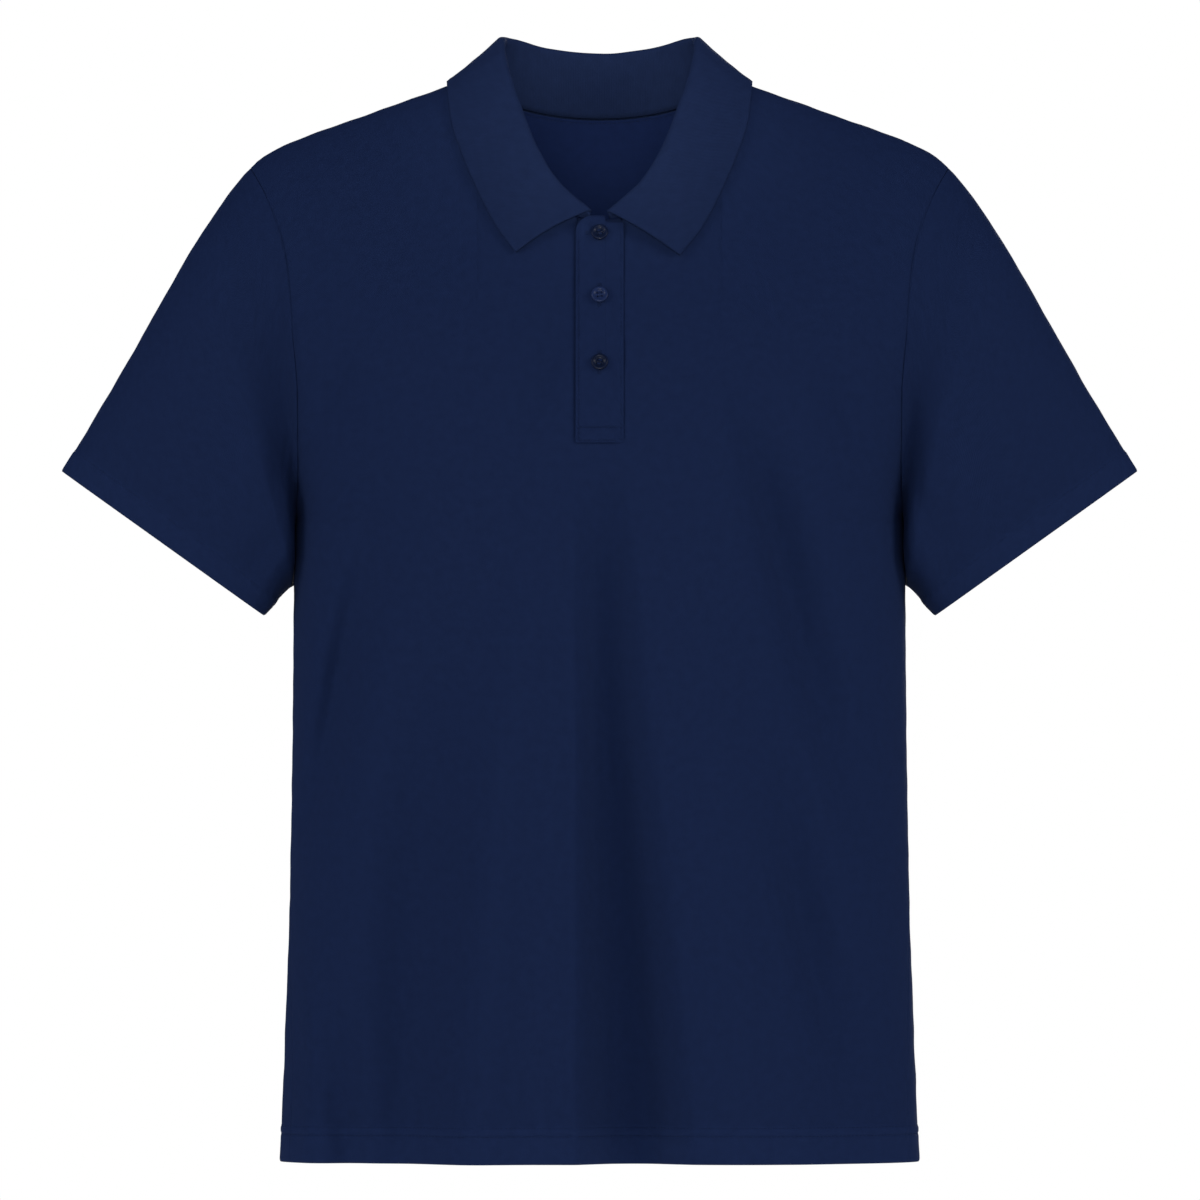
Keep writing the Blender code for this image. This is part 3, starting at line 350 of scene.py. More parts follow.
class PoloColours(bpy.types.PropertyGroup):
    cloth: FloatVectorProperty(
        name="Cloth", description="Colour of the pique knit", subtype="COLOR",
        default=(0.0074, 0.0140, 0.0405))
    # The inner face is painted lighter and bluer than the outer face: painted light for the shirt's inside,
    # where little lamp light reaches.
    inside: FloatVectorProperty(
        name="Inside", description="Colour of the knit's inner face", subtype="COLOR",
        default=(0.0081, 0.0167, 0.0600))
    collar: FloatVectorProperty(
        name="Collar", description="Colour of the collar's knit", subtype="COLOR",
        default=(0.0083, 0.0151, 0.0415))
    thread: FloatVectorProperty(
        name="Thread", description="Colour of the thread", subtype="COLOR", default=(0.0072, 0.0136, 0.0390))
    button: FloatVectorProperty(
        name="Button", description="Colour of the buttons", subtype="COLOR", default=(0.0080, 0.0140, 0.0400))
    floor: FloatVectorProperty(
        name="Floor", description="Colour of the floor", subtype="COLOR", default=(0.93, 0.93, 0.90))


class PoloStudio(bpy.types.PropertyGroup):
    floor: FloatProperty(
        name="Floor", description="Height of the floor over the origin", default=-1.15, unit="LENGTH")
    distance: FloatProperty(
        name="Distance", description="From the camera to the shirt", default=15.0, unit="LENGTH")
    view_width: FloatProperty(
        name="Width", description="Width of what the camera sees", default=0.8256, unit="LENGTH")
    view_x: FloatProperty(
        name="Middle", description="Middle of the view across", default=0.0003, unit="LENGTH")
    view_z: FloatProperty(
        name="Height", description="Middle of the view in height", default=-0.3578, unit="LENGTH")
    key: FloatProperty(name="Front lamp", description="Power of the large front lamp, in watts", default=59.0)
    left: FloatProperty(name="Left lamp", description="Power of the lamp at -X, in watts", default=57.0)
    right: FloatProperty(name="Right lamp", description="Power of the lamp at +X, in watts", default=64.0)
    neck: FloatProperty(
        name="Neck lamp", description="Power of the narrow lamp on the neck, in watts", default=330.0)
    back: FloatProperty(
        name="Back lamp", description="Power of the lamp behind the shirt, in watts", default=110.0)
    sky: FloatProperty(name="Fill", description="Strength of the even light from all round", default=0.3)


# ---- curves and tables -------------------------------------------------------
def ease(share):
    share = np.clip(share, 0.0, 1.0)
    return share * share * (3 - 2 * share)


def mix(a, b, share):
    return a + (b - a) * share


def bump_at(distance, width):
    """1 where the distance is 0, falling away softly on either side."""
    return np.exp(-(distance / width) ** 2)


def curve_at(keys, values, at):
    """A smooth curve through the values that never swings past them."""
    keys, values = np.asarray(keys, float), np.asarray(values, float)
    at = np.clip(at, keys[0], keys[-1])
    k = np.clip(np.searchsorted(keys, at, side="right") - 1, 0, len(keys) - 2)
    steps = np.diff(keys)
    slopes = np.diff(values) / steps
    before, after = slopes[:-1], slopes[1:]
    same = before * after > 0
    inner = np.where(same, 2 * before * after / np.where(same, before + after, 1.0), 0.0)
    slope = np.concatenate([slopes[:1], inner, slopes[-1:]])
    t = (at - keys[k]) / steps[k]
    return ((1 + 2 * t) * (1 - t) ** 2 * values[k] + t * (1 - t) ** 2 * steps[k] * slope[k]
            + t * t * (3 - 2 * t) * values[k + 1] + t * t * (t - 1) * steps[k] * slope[k + 1])


def read_off(table, key, column, at):
    return curve_at([getattr(row, key) for row in table], [getattr(row, column) for row in table], at)


# ---- the body's surface ------------------------------------------------------
def section(z, column):
    return read_off(SECTIONS, "z", column, z)


def armhole_x(z):
    return read_off(ARMHOLE, "z", "x", z)


def shoulder_z(x):
    x = np.abs(x)
    over_neck = NECK_SIDE_Z + NECK_RISE * (1 - (x / NECK_HALF) ** 2)
    return np.where(x < NECK_HALF, over_neck, read_off(SHOULDER, "x", "z", x))


def neckline_z(x, side):
    drop = FRONT_NECK_DROP if side == "front" else BACK_NECK_DROP
    return NECK_SIDE_Z - drop * np.sqrt(np.maximum(0.0, 1 - (x / NECK_HALF) ** 2))


def top_z(x, side):
    return np.where(np.abs(x) < NECK_HALF, neckline_z(x, side), shoulder_z(x))


def depth(x, z, side):
    """How far a panel's middle stands from the shoulder seams' plane, less and less towards the shoulders."""
    rounding = FRONT_ROUNDING if side == "front" else BACK_ROUNDING
    below = np.clip((shoulder_z(x) - z) / rounding, 0.0, 1.0)
    return section(z, side) * np.sqrt(1 - (1 - below) ** 2)


def armhole_y(z, side):
    reach = -ARMHOLE_FRONT if side == "front" else ARMHOLE_BACK
    half = (SHOULDER_TIP_Z - ARMPIT_Z) / 2
    return reach * np.sqrt(np.maximum(0.0, 1 - ((z - CHEST_Z) / half) ** 2))


def edge_angle(z, side):
    """The angle of a section, from the middle of its panel, at which the side seam or the armhole lies."""
    forward = section(z, "seam_forward") / section(z, "front")
    turn = np.arccos(np.minimum(1.0, forward) ** (SQUARENESS / 2))
    low = turn if side == "front" else math.pi - turn
    reach = np.maximum(depth(armhole_x(z), z, side), 1e-6)
    share = np.minimum(np.abs(armhole_y(z, side)) / reach, 0.98)
    return np.where(z <= ARMPIT_Z, low, np.arccos(share ** (SQUARENESS / 2)))


def half_width(z, side):
    """Half the width of a section, which passes through the armhole above the armpit."""
    below = section(z, "half_width")
    through_seam = armhole_x(z) / np.sin(edge_angle(z, side)) ** (2 / SQUARENESS)
    return np.where(z <= ARMPIT_Z, below, mix(below, through_seam, ease((z - ARMPIT_Z) / ARMPIT_BLEND)))


def tucked(z, angle, side):
    """How far a section is drawn in at this angle, towards its edge at the seam."""
    edge = np.minimum(edge_angle(z, side), math.pi / 2)
    high = half_width(z, side) * np.sin(edge) ** (2 / SQUARENESS) - armhole_x(z)
    amount = np.where(z <= ARMPIT_Z, section(z, "tuck"), high)
    return amount * np.clip(1 + np.degrees(angle - edge) / SEAM_TURN, 0.0, 1.0) ** 2


def side_x(y, z):
    """How far out the body's side lies at a depth y, below the armpit."""
    z = np.minimum(z, ARMPIT_Z)
    found = []
    for side in ("front", "back"):
        angle = np.arccos(np.minimum(np.abs(y) / section(z, side), 1.0) ** (SQUARENESS / 2))
        found.append(half_width(z, side) * np.sin(angle) ** (2 / SQUARENESS) - tucked(z, angle, side))
    return np.where(y < 0, *found)


def edge_height(x, z, side):
    """The height at which the row through a point of a panel meets the armhole."""
    top = top_z(x, side)
    share = np.clip((top - z) / (top - CHEST_Z), 0.02, 1.0)
    return np.where(z <= CHEST_Z, z, mix(SHOULDER_TIP_Z, CHEST_Z, share))


def panel_y(x, z, side):
    """y of a panel's outer surface before its folds."""
    width = half_width(edge_height(x, z, side), side)
    turned = np.maximum(0.0, 1 - (np.abs(x) / width) ** SQUARENESS) ** (1 / SQUARENESS)
    return (-1 if side == "front" else 1) * depth(x, z, side) * turned


def fold_out(x, z, folds):
    """How far the main folds move the cloth outward."""
    total = np.zeros(np.broadcast(x, z).shape)
    for f in folds:
        keys, share = (f.z3, f.z2, f.z1), (f.z1 - z) / (f.z1 - f.z3)
        middle = curve_at(keys, (f.x3, f.x2, f.x1), z)
        out = curve_at(keys, (f.out3, f.out2, f.out1), z)
        width = mix(f.width1, f.width3, share) * (1 + np.sign(x - middle) * f.lean)
        total += np.where((z >= f.z3) & (z <= f.z1), out * np.exp(-((x - middle) / width) ** 2), 0.0)
    return total


def pleat_out(x, z):
    """How far the pleat moves the cloth outward: less than 0 in it, and 0 on both sides."""
    start, floor1, floor2, end, deep = (read_off(FRONT_PLEAT, "z", column, z) for column in Pleat._fields[1:])
    falling = (x - start) / (floor1 - start)
    rising = (end - x) / (end - floor2)
    rising = np.sign(rising) * np.abs(rising) ** PLEAT_RISE
    sides = np.logaddexp(-falling / PLEAT_ROUND, -rising / PLEAT_ROUND)
    sunk = -PLEAT_ROUND * np.logaddexp(sides, -1.0 / PLEAT_ROUND)
    return -deep * PLEAT_CREST * np.logaddexp(0.0, sunk / PLEAT_CREST)


def crease_out(x, z, creases):
    """How far the small creases move the cloth outward: each fades at both ends and is a little uneven."""
    total = np.zeros(np.broadcast(x, z).shape)
    for n, c in enumerate(creases):
        run = np.array((c.x2 - c.x1, c.z2 - c.z1))
        length = np.hypot(*run)
        along = ((x - c.x1) * run[0] + (z - c.z1) * run[1]) / length ** 2
        off = ((x - c.x1) * run[1] - (z - c.z1) * run[0]) / length
        inside = np.sin(math.pi * np.clip(along, 0.0, 1.0))
        uneven = 1 + 0.3 * np.sin(5.1 * along + 1.7 * n)
        shape = bump_at(off - c.bow * inside, c.width * (0.6 + 0.6 * inside))
        total += c.out * inside ** CREASE_FADE * uneven * shape
    return total


def unevenness(a, b, phase):
    """A gentle unevenness of the cloth, about 1 at most, from waves that cross at odd angles."""
    total = np.zeros(np.broadcast(a, b).shape)
    for n, (across, up) in enumerate(WAVES):
        total += np.sin(2 * math.pi * (a / across + b / up) + phase * (n + 1) * 1.9) / (1.6 + 0.35 * n)
    return total / 2.2


def row_rise(row_share):
    """A row's share of the way from the upper edge down to CHEST_Z, from its share of the way up."""
    return 1 - np.cos(math.pi / 2 * (1 - row_share))


def level_point(share, z, side):
    """x and y of a panel's outer part on a level row."""
    width = half_width(z, side)
    start = np.arcsin((NECK_HALF / width) ** (SQUARENESS / 2))
    angle = mix(start, edge_angle(z, side), share)
    x = width * np.sin(angle) ** (2 / SQUARENESS) - tucked(z, angle, side)
    facing = np.cos(angle)
    reach = np.where(facing >= 0, depth(x, z, side), depth(x, z, OTHER_SIDE[side]))
    y = np.sign(facing) * np.abs(facing) ** (2 / SQUARENESS) * reach
    return x, (-1 if side == "front" else 1) * y


def panel_points(side, rows):
    """Points (columns, rows, 3) of a panel's outer surface from the wearer's right to left.

    rows holds (z, None) up to the chest and (None, share) from there to the upper edge.
    """
    outward = -1 if side == "front" else 1
    folds = FRONT_FOLDS if side == "front" else BACK_FOLDS
    low_z = np.array([z for z, share in rows if share is None])
    rise = row_rise(np.array([share for z, share in rows if share is not None]))
    grid = []
    for kind, value, sign in panel_columns():
        if kind == "inner":
            waist = float(curve_at(NECK_COLUMNS, WAIST_COLUMNS, value))
            z = np.concatenate([low_z, mix(top_z(value, side), CHEST_Z, rise)])
            x = mix(waist, value, ease((z - COLUMNS_BEND_Z) / COLUMNS_BEND))
            y = panel_y(x, z, side)
            fade, lean = 1.0, 0.0
        else:
            x_low, y_low = level_point(value, low_z, side)
            top = shoulder_z(mix(NECK_HALF, SHOULDER_TIP_X, value))
            z = np.concatenate([low_z, mix(top, CHEST_Z, rise)])
            edge_z = mix(SHOULDER_TIP_Z, CHEST_Z, rise)
            level = float(level_point(value, np.array([CHEST_Z]), side)[0][0])
            chest_edge = float(armhole_x(CHEST_Z))
            spread = mix(value, (level - NECK_HALF) / (chest_edge - NECK_HALF), rise)
            x_high = NECK_HALF + (armhole_x(edge_z) - NECK_HALF) * spread
            y_high = armhole_y(edge_z, side) if value == 1.0 else panel_y(x_high, z[len(low_z):], side)
            x, y = np.concatenate([x_low, x_high]), np.concatenate([y_low, y_high])
            fade, lean = float(ease((1 - value) * 4)), value ** 3 * FOLD_LEAN
        x = sign * x
        lift = fade * fold_out(x, z, folds)
        if side == "front":
            lift = lift + pleat_out(x, z)
        out = lift * (1 - lean * 0.5) + PANEL_GAP / 2
        grid.append(np.stack([x + sign * lift * lean, y + outward * out, z], -1))
    return np.array(grid)


def panel_columns():
    """(kind, place, sign) of each column from the wearer's right to left."""
    slot = math.degrees(math.asin(SLOT_HALF / NECK_HALF))
    turns = [slot / 2, slot] + [mix(slot, 90.0, k / TOP_COLUMNS) for k in range(1, TOP_COLUMNS + 1)]
    half = [("inner", NECK_HALF * math.sin(math.radians(turn)), 1) for turn in turns[:-1]]
    half.append(("inner", NECK_HALF, 1))
    shares = [k / SIDE_COLUMNS for k in range(1, SIDE_COLUMNS)] + [0.983, *LAST_SHARES]
    half += [("outer", share, 1) for share in sorted(set(shares))]
    return [(kind, place, -1) for kind, place, _ in reversed(half)] + [("inner", 0.0, 1)] + half


def panel_rows():
    """Rows from the hem to the upper edge, closer together in the hem and at the seams."""
    low = [HEM_Z + height for height in HEM_ROWS]
    low += [mix(HEM_Z + 36.0, ARMPIT_Z - 6, k / 84) for k in range(85)]
    low += [ARMPIT_Z - 3, ARMPIT_Z, ARMPIT_Z + 3]
    low += [mix(ARMPIT_Z + 7, SLOT_FOOT_Z, k / 11) for k in range(12)]
    low += [mix(SLOT_FOOT_Z, CHEST_Z, k / 14) for k in range(1, 15)]
    high = [k / 38 for k in range(1, 38)] + [0.982, *LAST_SHARES]
    return [(z, None) for z in low] + [(None, share) for share in high]


# ---- sheets of cloth ---------------------------------------------------------
WELD = 0.00001              # metres between points that are joined into one
STITCH_SHAPE = (0.54, 0.55, 0.5)        # half sizes, as shares of the stitch's length and the thread


def grid_normals(points, closed=False):
    """Unit normals of a grid of points, along columns cross rows."""
    if closed:
        ring = np.concatenate([points[-2:-1], points, points[1:2]])
        across = np.gradient(ring, axis=0)[1:-1]
    else:
        across = np.gradient(points, axis=0)
    along = np.gradient(points, axis=1)
    normal = np.cross(across, along)
    size = np.linalg.norm(normal, axis=-1, keepdims=True)
    return normal / np.maximum(size, 1e-9)


def run_along(points, axis):
    """Distance along the grid's lines from their first point."""
    steps = np.linalg.norm(np.diff(points, axis=axis), axis=-1)
    pad = [(1, 0), (0, 0)] if axis == 0 else [(0, 0), (1, 0)]
    return np.cumsum(np.pad(steps, pad), axis=axis)


def make_sheet(name, points, finish, wall, drop=None, closed=False, turn=False, offset=-1.0, turned=None,
               inside=None):
    """A sheet of cloth over a grid of points, with a wall on its inner side and a UV map in metres of cloth.

    drop says which cells are left out, closed joins the first and last columns and turn flips the faces.
    turned holds how far each point is in a turned hem, where the finish paints light, and inside is another
    finish for the inner face.
    """
    columns, rows = points.shape[0] - 1, points.shape[1] - 1
    across, along = run_along(points, 0) * MM, run_along(points, 1) * MM
    across = across - across[len(across) // 2]
    bm = bmesh.new()
    in_turned = bm.verts.layers.float.new("hem")
    bmesh.ops.create_grid(bm, x_segments=columns, y_segments=rows, size=1.0)
    cell = {v: (round((v.co.x + 1) / 2 * columns), round((v.co.y + 1) / 2 * rows)) for v in bm.verts}
    if drop:
        lost = [f for f in bm.faces if drop(*(min(cell[v][k] for v in f.verts) for k in (0, 1)))]
        bmesh.ops.delete(bm, geom=lost, context="FACES")
    uv = bm.loops.layers.uv.new("cloth")
    for face in bm.faces:
        for loop in face.loops:
            at = cell[loop.vert]
            loop[uv].uv = (across[at], along[at])
    for vert in bm.verts:
        vert[in_turned] = 0.0 if turned is None else turned[cell[vert]]
        vert.co = Vector(points[cell[vert]]) * MM
    if closed:
        bmesh.ops.remove_doubles(bm, verts=bm.verts, dist=WELD)
    if turn:
        bmesh.ops.reverse_faces(bm, faces=bm.faces)
    made = finish_piece(bm, name, finish)
    shell = made.modifiers.new("wall", "SOLIDIFY")
    shell.thickness = wall
    shell.offset = offset
    shell.use_rim = True
    if inside:
        made.data.materials.append(inside)
        shell.material_offset = 1
    return made


def finish_piece(bm, name, finish):
    """The bmesh as a smooth object with its finish, which rides the shirt's root."""
    mesh = bpy.data.meshes.new(name)
    bm.to_mesh(mesh)
    bm.free()
    mesh.shade_smooth()
    made = bpy.data.objects.new(name, mesh)
    made.data.materials.append(finish)
    bpy.context.scene.collection.objects.link(made)
    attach(made, "root")
    return made


def trace(points, normals, measure, value):
    """Where the measure, which rises along each column, reaches the value: a point and normal for each."""
    places, facings = [], []
    for column, facing, height in zip(points, normals, measure):
        k = int(np.clip(np.searchsorted(height, value) - 1, 0, len(height) - 2))
        t = (value - height[k]) / max(height[k + 1] - height[k], 1e-9)
        places.append(mix(column[k], column[k + 1], t))
        facings.append(mix(facing[k], facing[k + 1], t))
    return np.array(places), np.array(facings)


def add_stitches(bm, places, facings, sizes, gap=0.0007, lift=0.1, closed=False, bar=1.0):
    """Lays stitches end to end along a line on the cloth; lift is how much of the thread shows over it."""
    if closed:
        places, facings = np.concatenate([places, places[:1]]), np.concatenate([facings, facings[:1]])
    length = np.concatenate([[0], np.cumsum(np.linalg.norm(np.diff(places, axis=0), axis=1))]) * MM
    step = sizes.stitch * bar + gap
    count = max(1, int(length[-1] / step))
    template = stitch_template(sizes.stitch * bar, sizes.thread)
    for n in range(count):
        start = n * step + gap / 2
        ends = (start, start + sizes.stitch * bar)
        a, b = (Vector([np.interp(at, length, places[:, k]) for k in range(3)]) * MM for at in ends)
        up = Vector([np.interp(sum(ends) / 2, length, facings[:, k]) for k in range(3)]).normalized()
        run = (b - a).normalized()
        side = up.cross(run).normalized()
        turned = Matrix((run, side, run.cross(side))).transposed().to_4x4()
        turned.translation = (a + b) / 2 + up * sizes.thread * lift
        one = template.copy()
        one.transform(turned)
        bm.from_mesh(one)
        bpy.data.meshes.remove(one)
    bpy.data.meshes.remove(template)


def stitch_template(length, thickness):
    bm = bmesh.new()
    bmesh.ops.create_icosphere(bm, subdivisions=1, radius=1.0)
    half_sizes = [size * share for size, share in zip((length, thickness, thickness), STITCH_SHAPE)]
    bmesh.ops.scale(bm, vec=half_sizes, verts=bm.verts)
    mesh = bpy.data.meshes.new("stitch")
    bm.to_mesh(mesh)
    bm.free()
    return mesh


# ---- finishes ----------------------------------------------------------------
WALE, COURSE = 0.0011, 0.0009           # metres of cloth to one pique cell, across and along
RIB, RIB_ROW = 0.0012, 0.0010           # and to one rib of the collar's knit
CLOTH_NAP = (0.10, 0.15, 0.34)          # colours of the sheen
KNIT_NAP = (0.12, 0.18, 0.40)
NAP = 0.04                              # weight of the sheen
MATTE, POLISHED = 0.04, 0.12            # how much light the surfaces throw back
YARN, DYE = 2600.0, 160.0               # scales of the noise in the yarn and in the dye, per metre
KNIT_YARN, KNIT_DYE = 2400.0, 140.0     # and in the collar's knit
HEM_PAINTED_LIGHT = 0.16                        # painted light: how much lighter a turned hem is painted, standing in for the light its doubled band catches


def new_finish(name, roughness, nap=None, specular=MATTE):
    made = bpy.data.materials.new(name)
    made.use_nodes = True
    shader = made.node_tree.nodes["Principled BSDF"]
    shader.inputs["Roughness"].default_value = roughness
    shader.inputs["Specular IOR Level"].default_value = specular
    if nap:
        shader.inputs["Sheen Weight"].default_value = NAP
        shader.inputs["Sheen Roughness"].default_value = 0.5
        shader.inputs["Sheen Tint"].default_value = (*nap, 1.0)
    return made, made.node_tree, shader


def math_node(tree, operation, a, b=None):
    node = tree.nodes.new("ShaderNodeMath")
    node.operation = operation
    for socket, value in zip(node.inputs, (a, b)):
        if isinstance(value, (int, float)):
            socket.default_value = value
        elif value is not None:
            tree.links.new(value, socket)
    return node.outputs[0]


def times(tree, a, b):
    return math_node(tree, "MULTIPLY", a, b)


def plus(tree, a, b):
    return math_node(tree, "ADD", a, b)


def wave(tree, place, length):
    """A sine wave of that length along the place."""
    return math_node(tree, "SINE", times(tree, place, 2 * math.pi / length))


def tinted(tree, shader, colour, shade, low, high):
    """Base colour between the colour times low and times high, as the shade goes from 0 to 1."""
    ramp = tree.nodes.new("ShaderNodeMix")
    ramp.data_type = "RGBA"
    tree.links.new(shade, ramp.inputs[0])
    ramp.inputs[6].default_value = (*(c * low for c in colour), 1.0)
    ramp.inputs[7].default_value = (*(c * high for c in colour), 1.0)
    tree.links.new(ramp.outputs[2], shader.inputs["Base Color"])


def cloth_places(tree):
    """Across and along the cloth, in metres, from its UV map."""
    uv = tree.nodes.new("ShaderNodeUVMap")
    uv.uv_map = "cloth"
    split = tree.nodes.new("ShaderNodeSeparateXYZ")
    tree.links.new(uv.outputs[0], split.inputs[0])
    return uv.outputs[0], split.outputs[0], split.outputs[1]


def noise(tree, place, scale, detail=3.0, roughness=0.55):
    node = tree.nodes.new("ShaderNodeTexNoise")
    node.inputs["Scale"].default_value = scale
    node.inputs["Detail"].default_value = detail
    node.inputs["Roughness"].default_value = roughness
    tree.links.new(place, node.inputs["Vector"])
    return node.outputs[0]


def add_bump(tree, shader, height, distance, strength):
    bump = tree.nodes.new("ShaderNodeBump")
    bump.inputs["Distance"].default_value = distance
    bump.inputs["Strength"].default_value = strength
    tree.links.new(height, bump.inputs["Height"])
    tree.links.new(bump.outputs[0], shader.inputs["Normal"])


def in_hem(height, hem):
    """1 in a turned hem, 0 above it."""
    return 1 - ease((height - hem - 0.6) / 1.6)


def pique_finish(name, colour):
    """Pique knit: small raised cells in staggered rows, with uneven dye, a soft nap and painted light on
    turned hems.
    """
    made, tree, shader = new_finish(name, 0.92, CLOTH_NAP)
    place, across, along = cloth_places(tree)
    cells = times(tree, wave(tree, across, WALE), wave(tree, along, COURSE))
    lifted = plus(tree, times(tree, cells, 0.5), 0.5)
    yarn = noise(tree, place, YARN, 2.0)
    height = plus(tree, times(tree, lifted, 0.7), times(tree, yarn, 0.5))
    add_bump(tree, shader, height, 0.0003, 0.7)
    dye = noise(tree, place, DYE, 4.0, 0.6)
    shade = plus(tree, times(tree, dye, 0.7), times(tree, lifted, 0.3))
    # painted light: points in a turned hem, marked by the hem attribute, are painted lighter
    hem = tree.nodes.new("ShaderNodeAttribute")
    hem.attribute_name = "hem"
    shade = plus(tree, shade, times(tree, hem.outputs["Fac"], HEM_PAINTED_LIGHT))
    tinted(tree, shader, colour, shade, 0.72, 1.28)
    return made


def rib_finish(name, colour):
    """Flat knit of the collar: fine ribs that run from the seam to the edge."""
    made, tree, shader = new_finish(name, 0.9, KNIT_NAP)
    place, across, along = cloth_places(tree)
    ribs, rows = wave(tree, across, RIB), wave(tree, along, RIB_ROW)
    lifted = plus(tree, times(tree, ribs, 0.4), times(tree, rows, 0.12))
    yarn = noise(tree, place, KNIT_YARN, 2.0)
    add_bump(tree, shader, plus(tree, lifted, times(tree, yarn, 0.4)), 0.0003, 0.6)
    dye = noise(tree, place, KNIT_DYE, 4.0, 0.6)
    shade = plus(tree, times(tree, dye, 0.8), times(tree, ribs, 0.1))
    tinted(tree, shader, colour, shade, 0.78, 1.24)
    return made


def thread_finish(name, colour):
    """Dull twisted thread."""
    made, tree, shader = new_finish(name, 0.6, KNIT_NAP)
    where = tree.nodes.new("ShaderNodeTexCoord").outputs["Object"]
    twist = noise(tree, where, 3000.0, 1.0)
    add_bump(tree, shader, twist, 0.0001, 0.5)
    tinted(tree, shader, colour, twist, 0.7, 1.3)
    return made


def button_finish(name, colour, depth):
    """Dyed polyester, polished, with faint swirls in the dye; depth scales this button's colour as painted
    light: over 1 a painted highlight, under 1 painted shade.
    """
    made, tree, shader = new_finish(name, 0.3, specular=POLISHED)
    where = tree.nodes.new("ShaderNodeTexCoord").outputs["Object"]
    swirl = noise(tree, where, 420.0, 3.0)
    tinted(tree, shader, [c * depth for c in colour], swirl, 0.75, 1.3)
    add_bump(tree, shader, noise(tree, where, 1500.0, 2.0), 0.00005, 0.3)
    return made


# ---- front and back ----------------------------------------------------------
SLOT_COLUMNS = 2                        # columns that the slot takes on each side of the middle
NECK_STITCH_DROP = 2.2                  # the row of stitches under the neck's seam, on the back's inner face
SEAM_ALLOWANCE = 4.5                    # how far from a seam its padding lies, and how wide it is
SEAM_CALM = 14                          # how near a seam the small creases fade
LAYER_OUT = 0.6                         # how far a hem's second layer stands out
FOLD_ROUND = 0.5                        # how far its folded edge rounds away
STITCH_SINK, STITCH_WIDE = 0.6, 0.9     # depth and width of the dip along a row of stitches


def hem_out(height, across, hem, rows, pucker=0.16):
    """A turned hem: two layers thick, sunk along its rows of stitches and a little puckered between them."""
    out = LAYER_OUT * (1 - ease((height - hem + 0.4) / 2.0)) - FOLD_ROUND * bump_at(height, STITCH_WIDE)
    for row in rows:
        out -= STITCH_SINK * bump_at(height - row, STITCH_WIDE)
    waves = np.sin(2 * math.pi * across / 11.3 + 0.9 * np.sin(across / 23.0))
    waves = waves + 0.6 * np.sin(across / 2.9 + 1.3)
    return out + pucker * waves * bump_at(height - hem + 3, 7.0)


def seam_out(distance, along, ridge):
    """A seam's edge: drawn in at the stitches and a little padded beside them by the seam allowance."""
    tug = 1 + 0.35 * np.sin(along / 3.7) + 0.25 * np.sin(along / 8.3 + 1.0)
    padded = ridge * bump_at(distance - SEAM_ALLOWANCE, SEAM_ALLOWANCE) * tug
    return padded - 0.4 * ridge * bump_at(distance, 1.5)


def panel_surface(side, sizes):
    """Points and normals of a panel with its creases, hem and seams, and each point's height over the hem."""
    points = panel_points(side, panel_rows())
    normals = grid_normals(points)
    if side == "back":
        normals = -normals
    across, from_hem = run_along(points, 0), run_along(points, 1)
    x, z = points[..., 0], points[..., 2]
    middle = across - across[len(points) // 2]
    from_side = np.minimum(across, across[-1] - across)
    from_top = from_hem[:, -1:] - from_hem
    creases = FRONT_CREASES if side == "front" else BACK_CREASES
    calm = ease(from_side / SEAM_CALM) * ease(from_top / SEAM_CALM)
    out = sizes.creasing * calm * crease_out(x, z, creases)
    out += 0.35 * calm * unevenness(x, z, 1.0 if side == "front" else 2.3)
    out += hem_out(from_hem, middle, sizes.body_hem / MM, hem_rows(sizes))
    ridge = mix(0.25, 0.6, ease((z - ARMPIT_Z) / 8))
    out += seam_out(from_side, from_hem, ridge) * ease((from_hem - 2) / 20) * ease(from_top / 16)
    shoulder = seam_out(from_top, across, 0.5 if side == "back" else 0.25)
    neck = -0.25 * bump_at(from_top, 1.4)
    out += np.where(np.abs(x) > NECK_HALF, shoulder, neck) * ease(from_side / 10)
    return points + normals * out[..., None], normals, from_hem


def hem_rows(sizes):
    """Heights of the body hem's two rows of stitches."""
    upper = sizes.body_hem / MM
    return upper, upper - sizes.needle_gap / MM


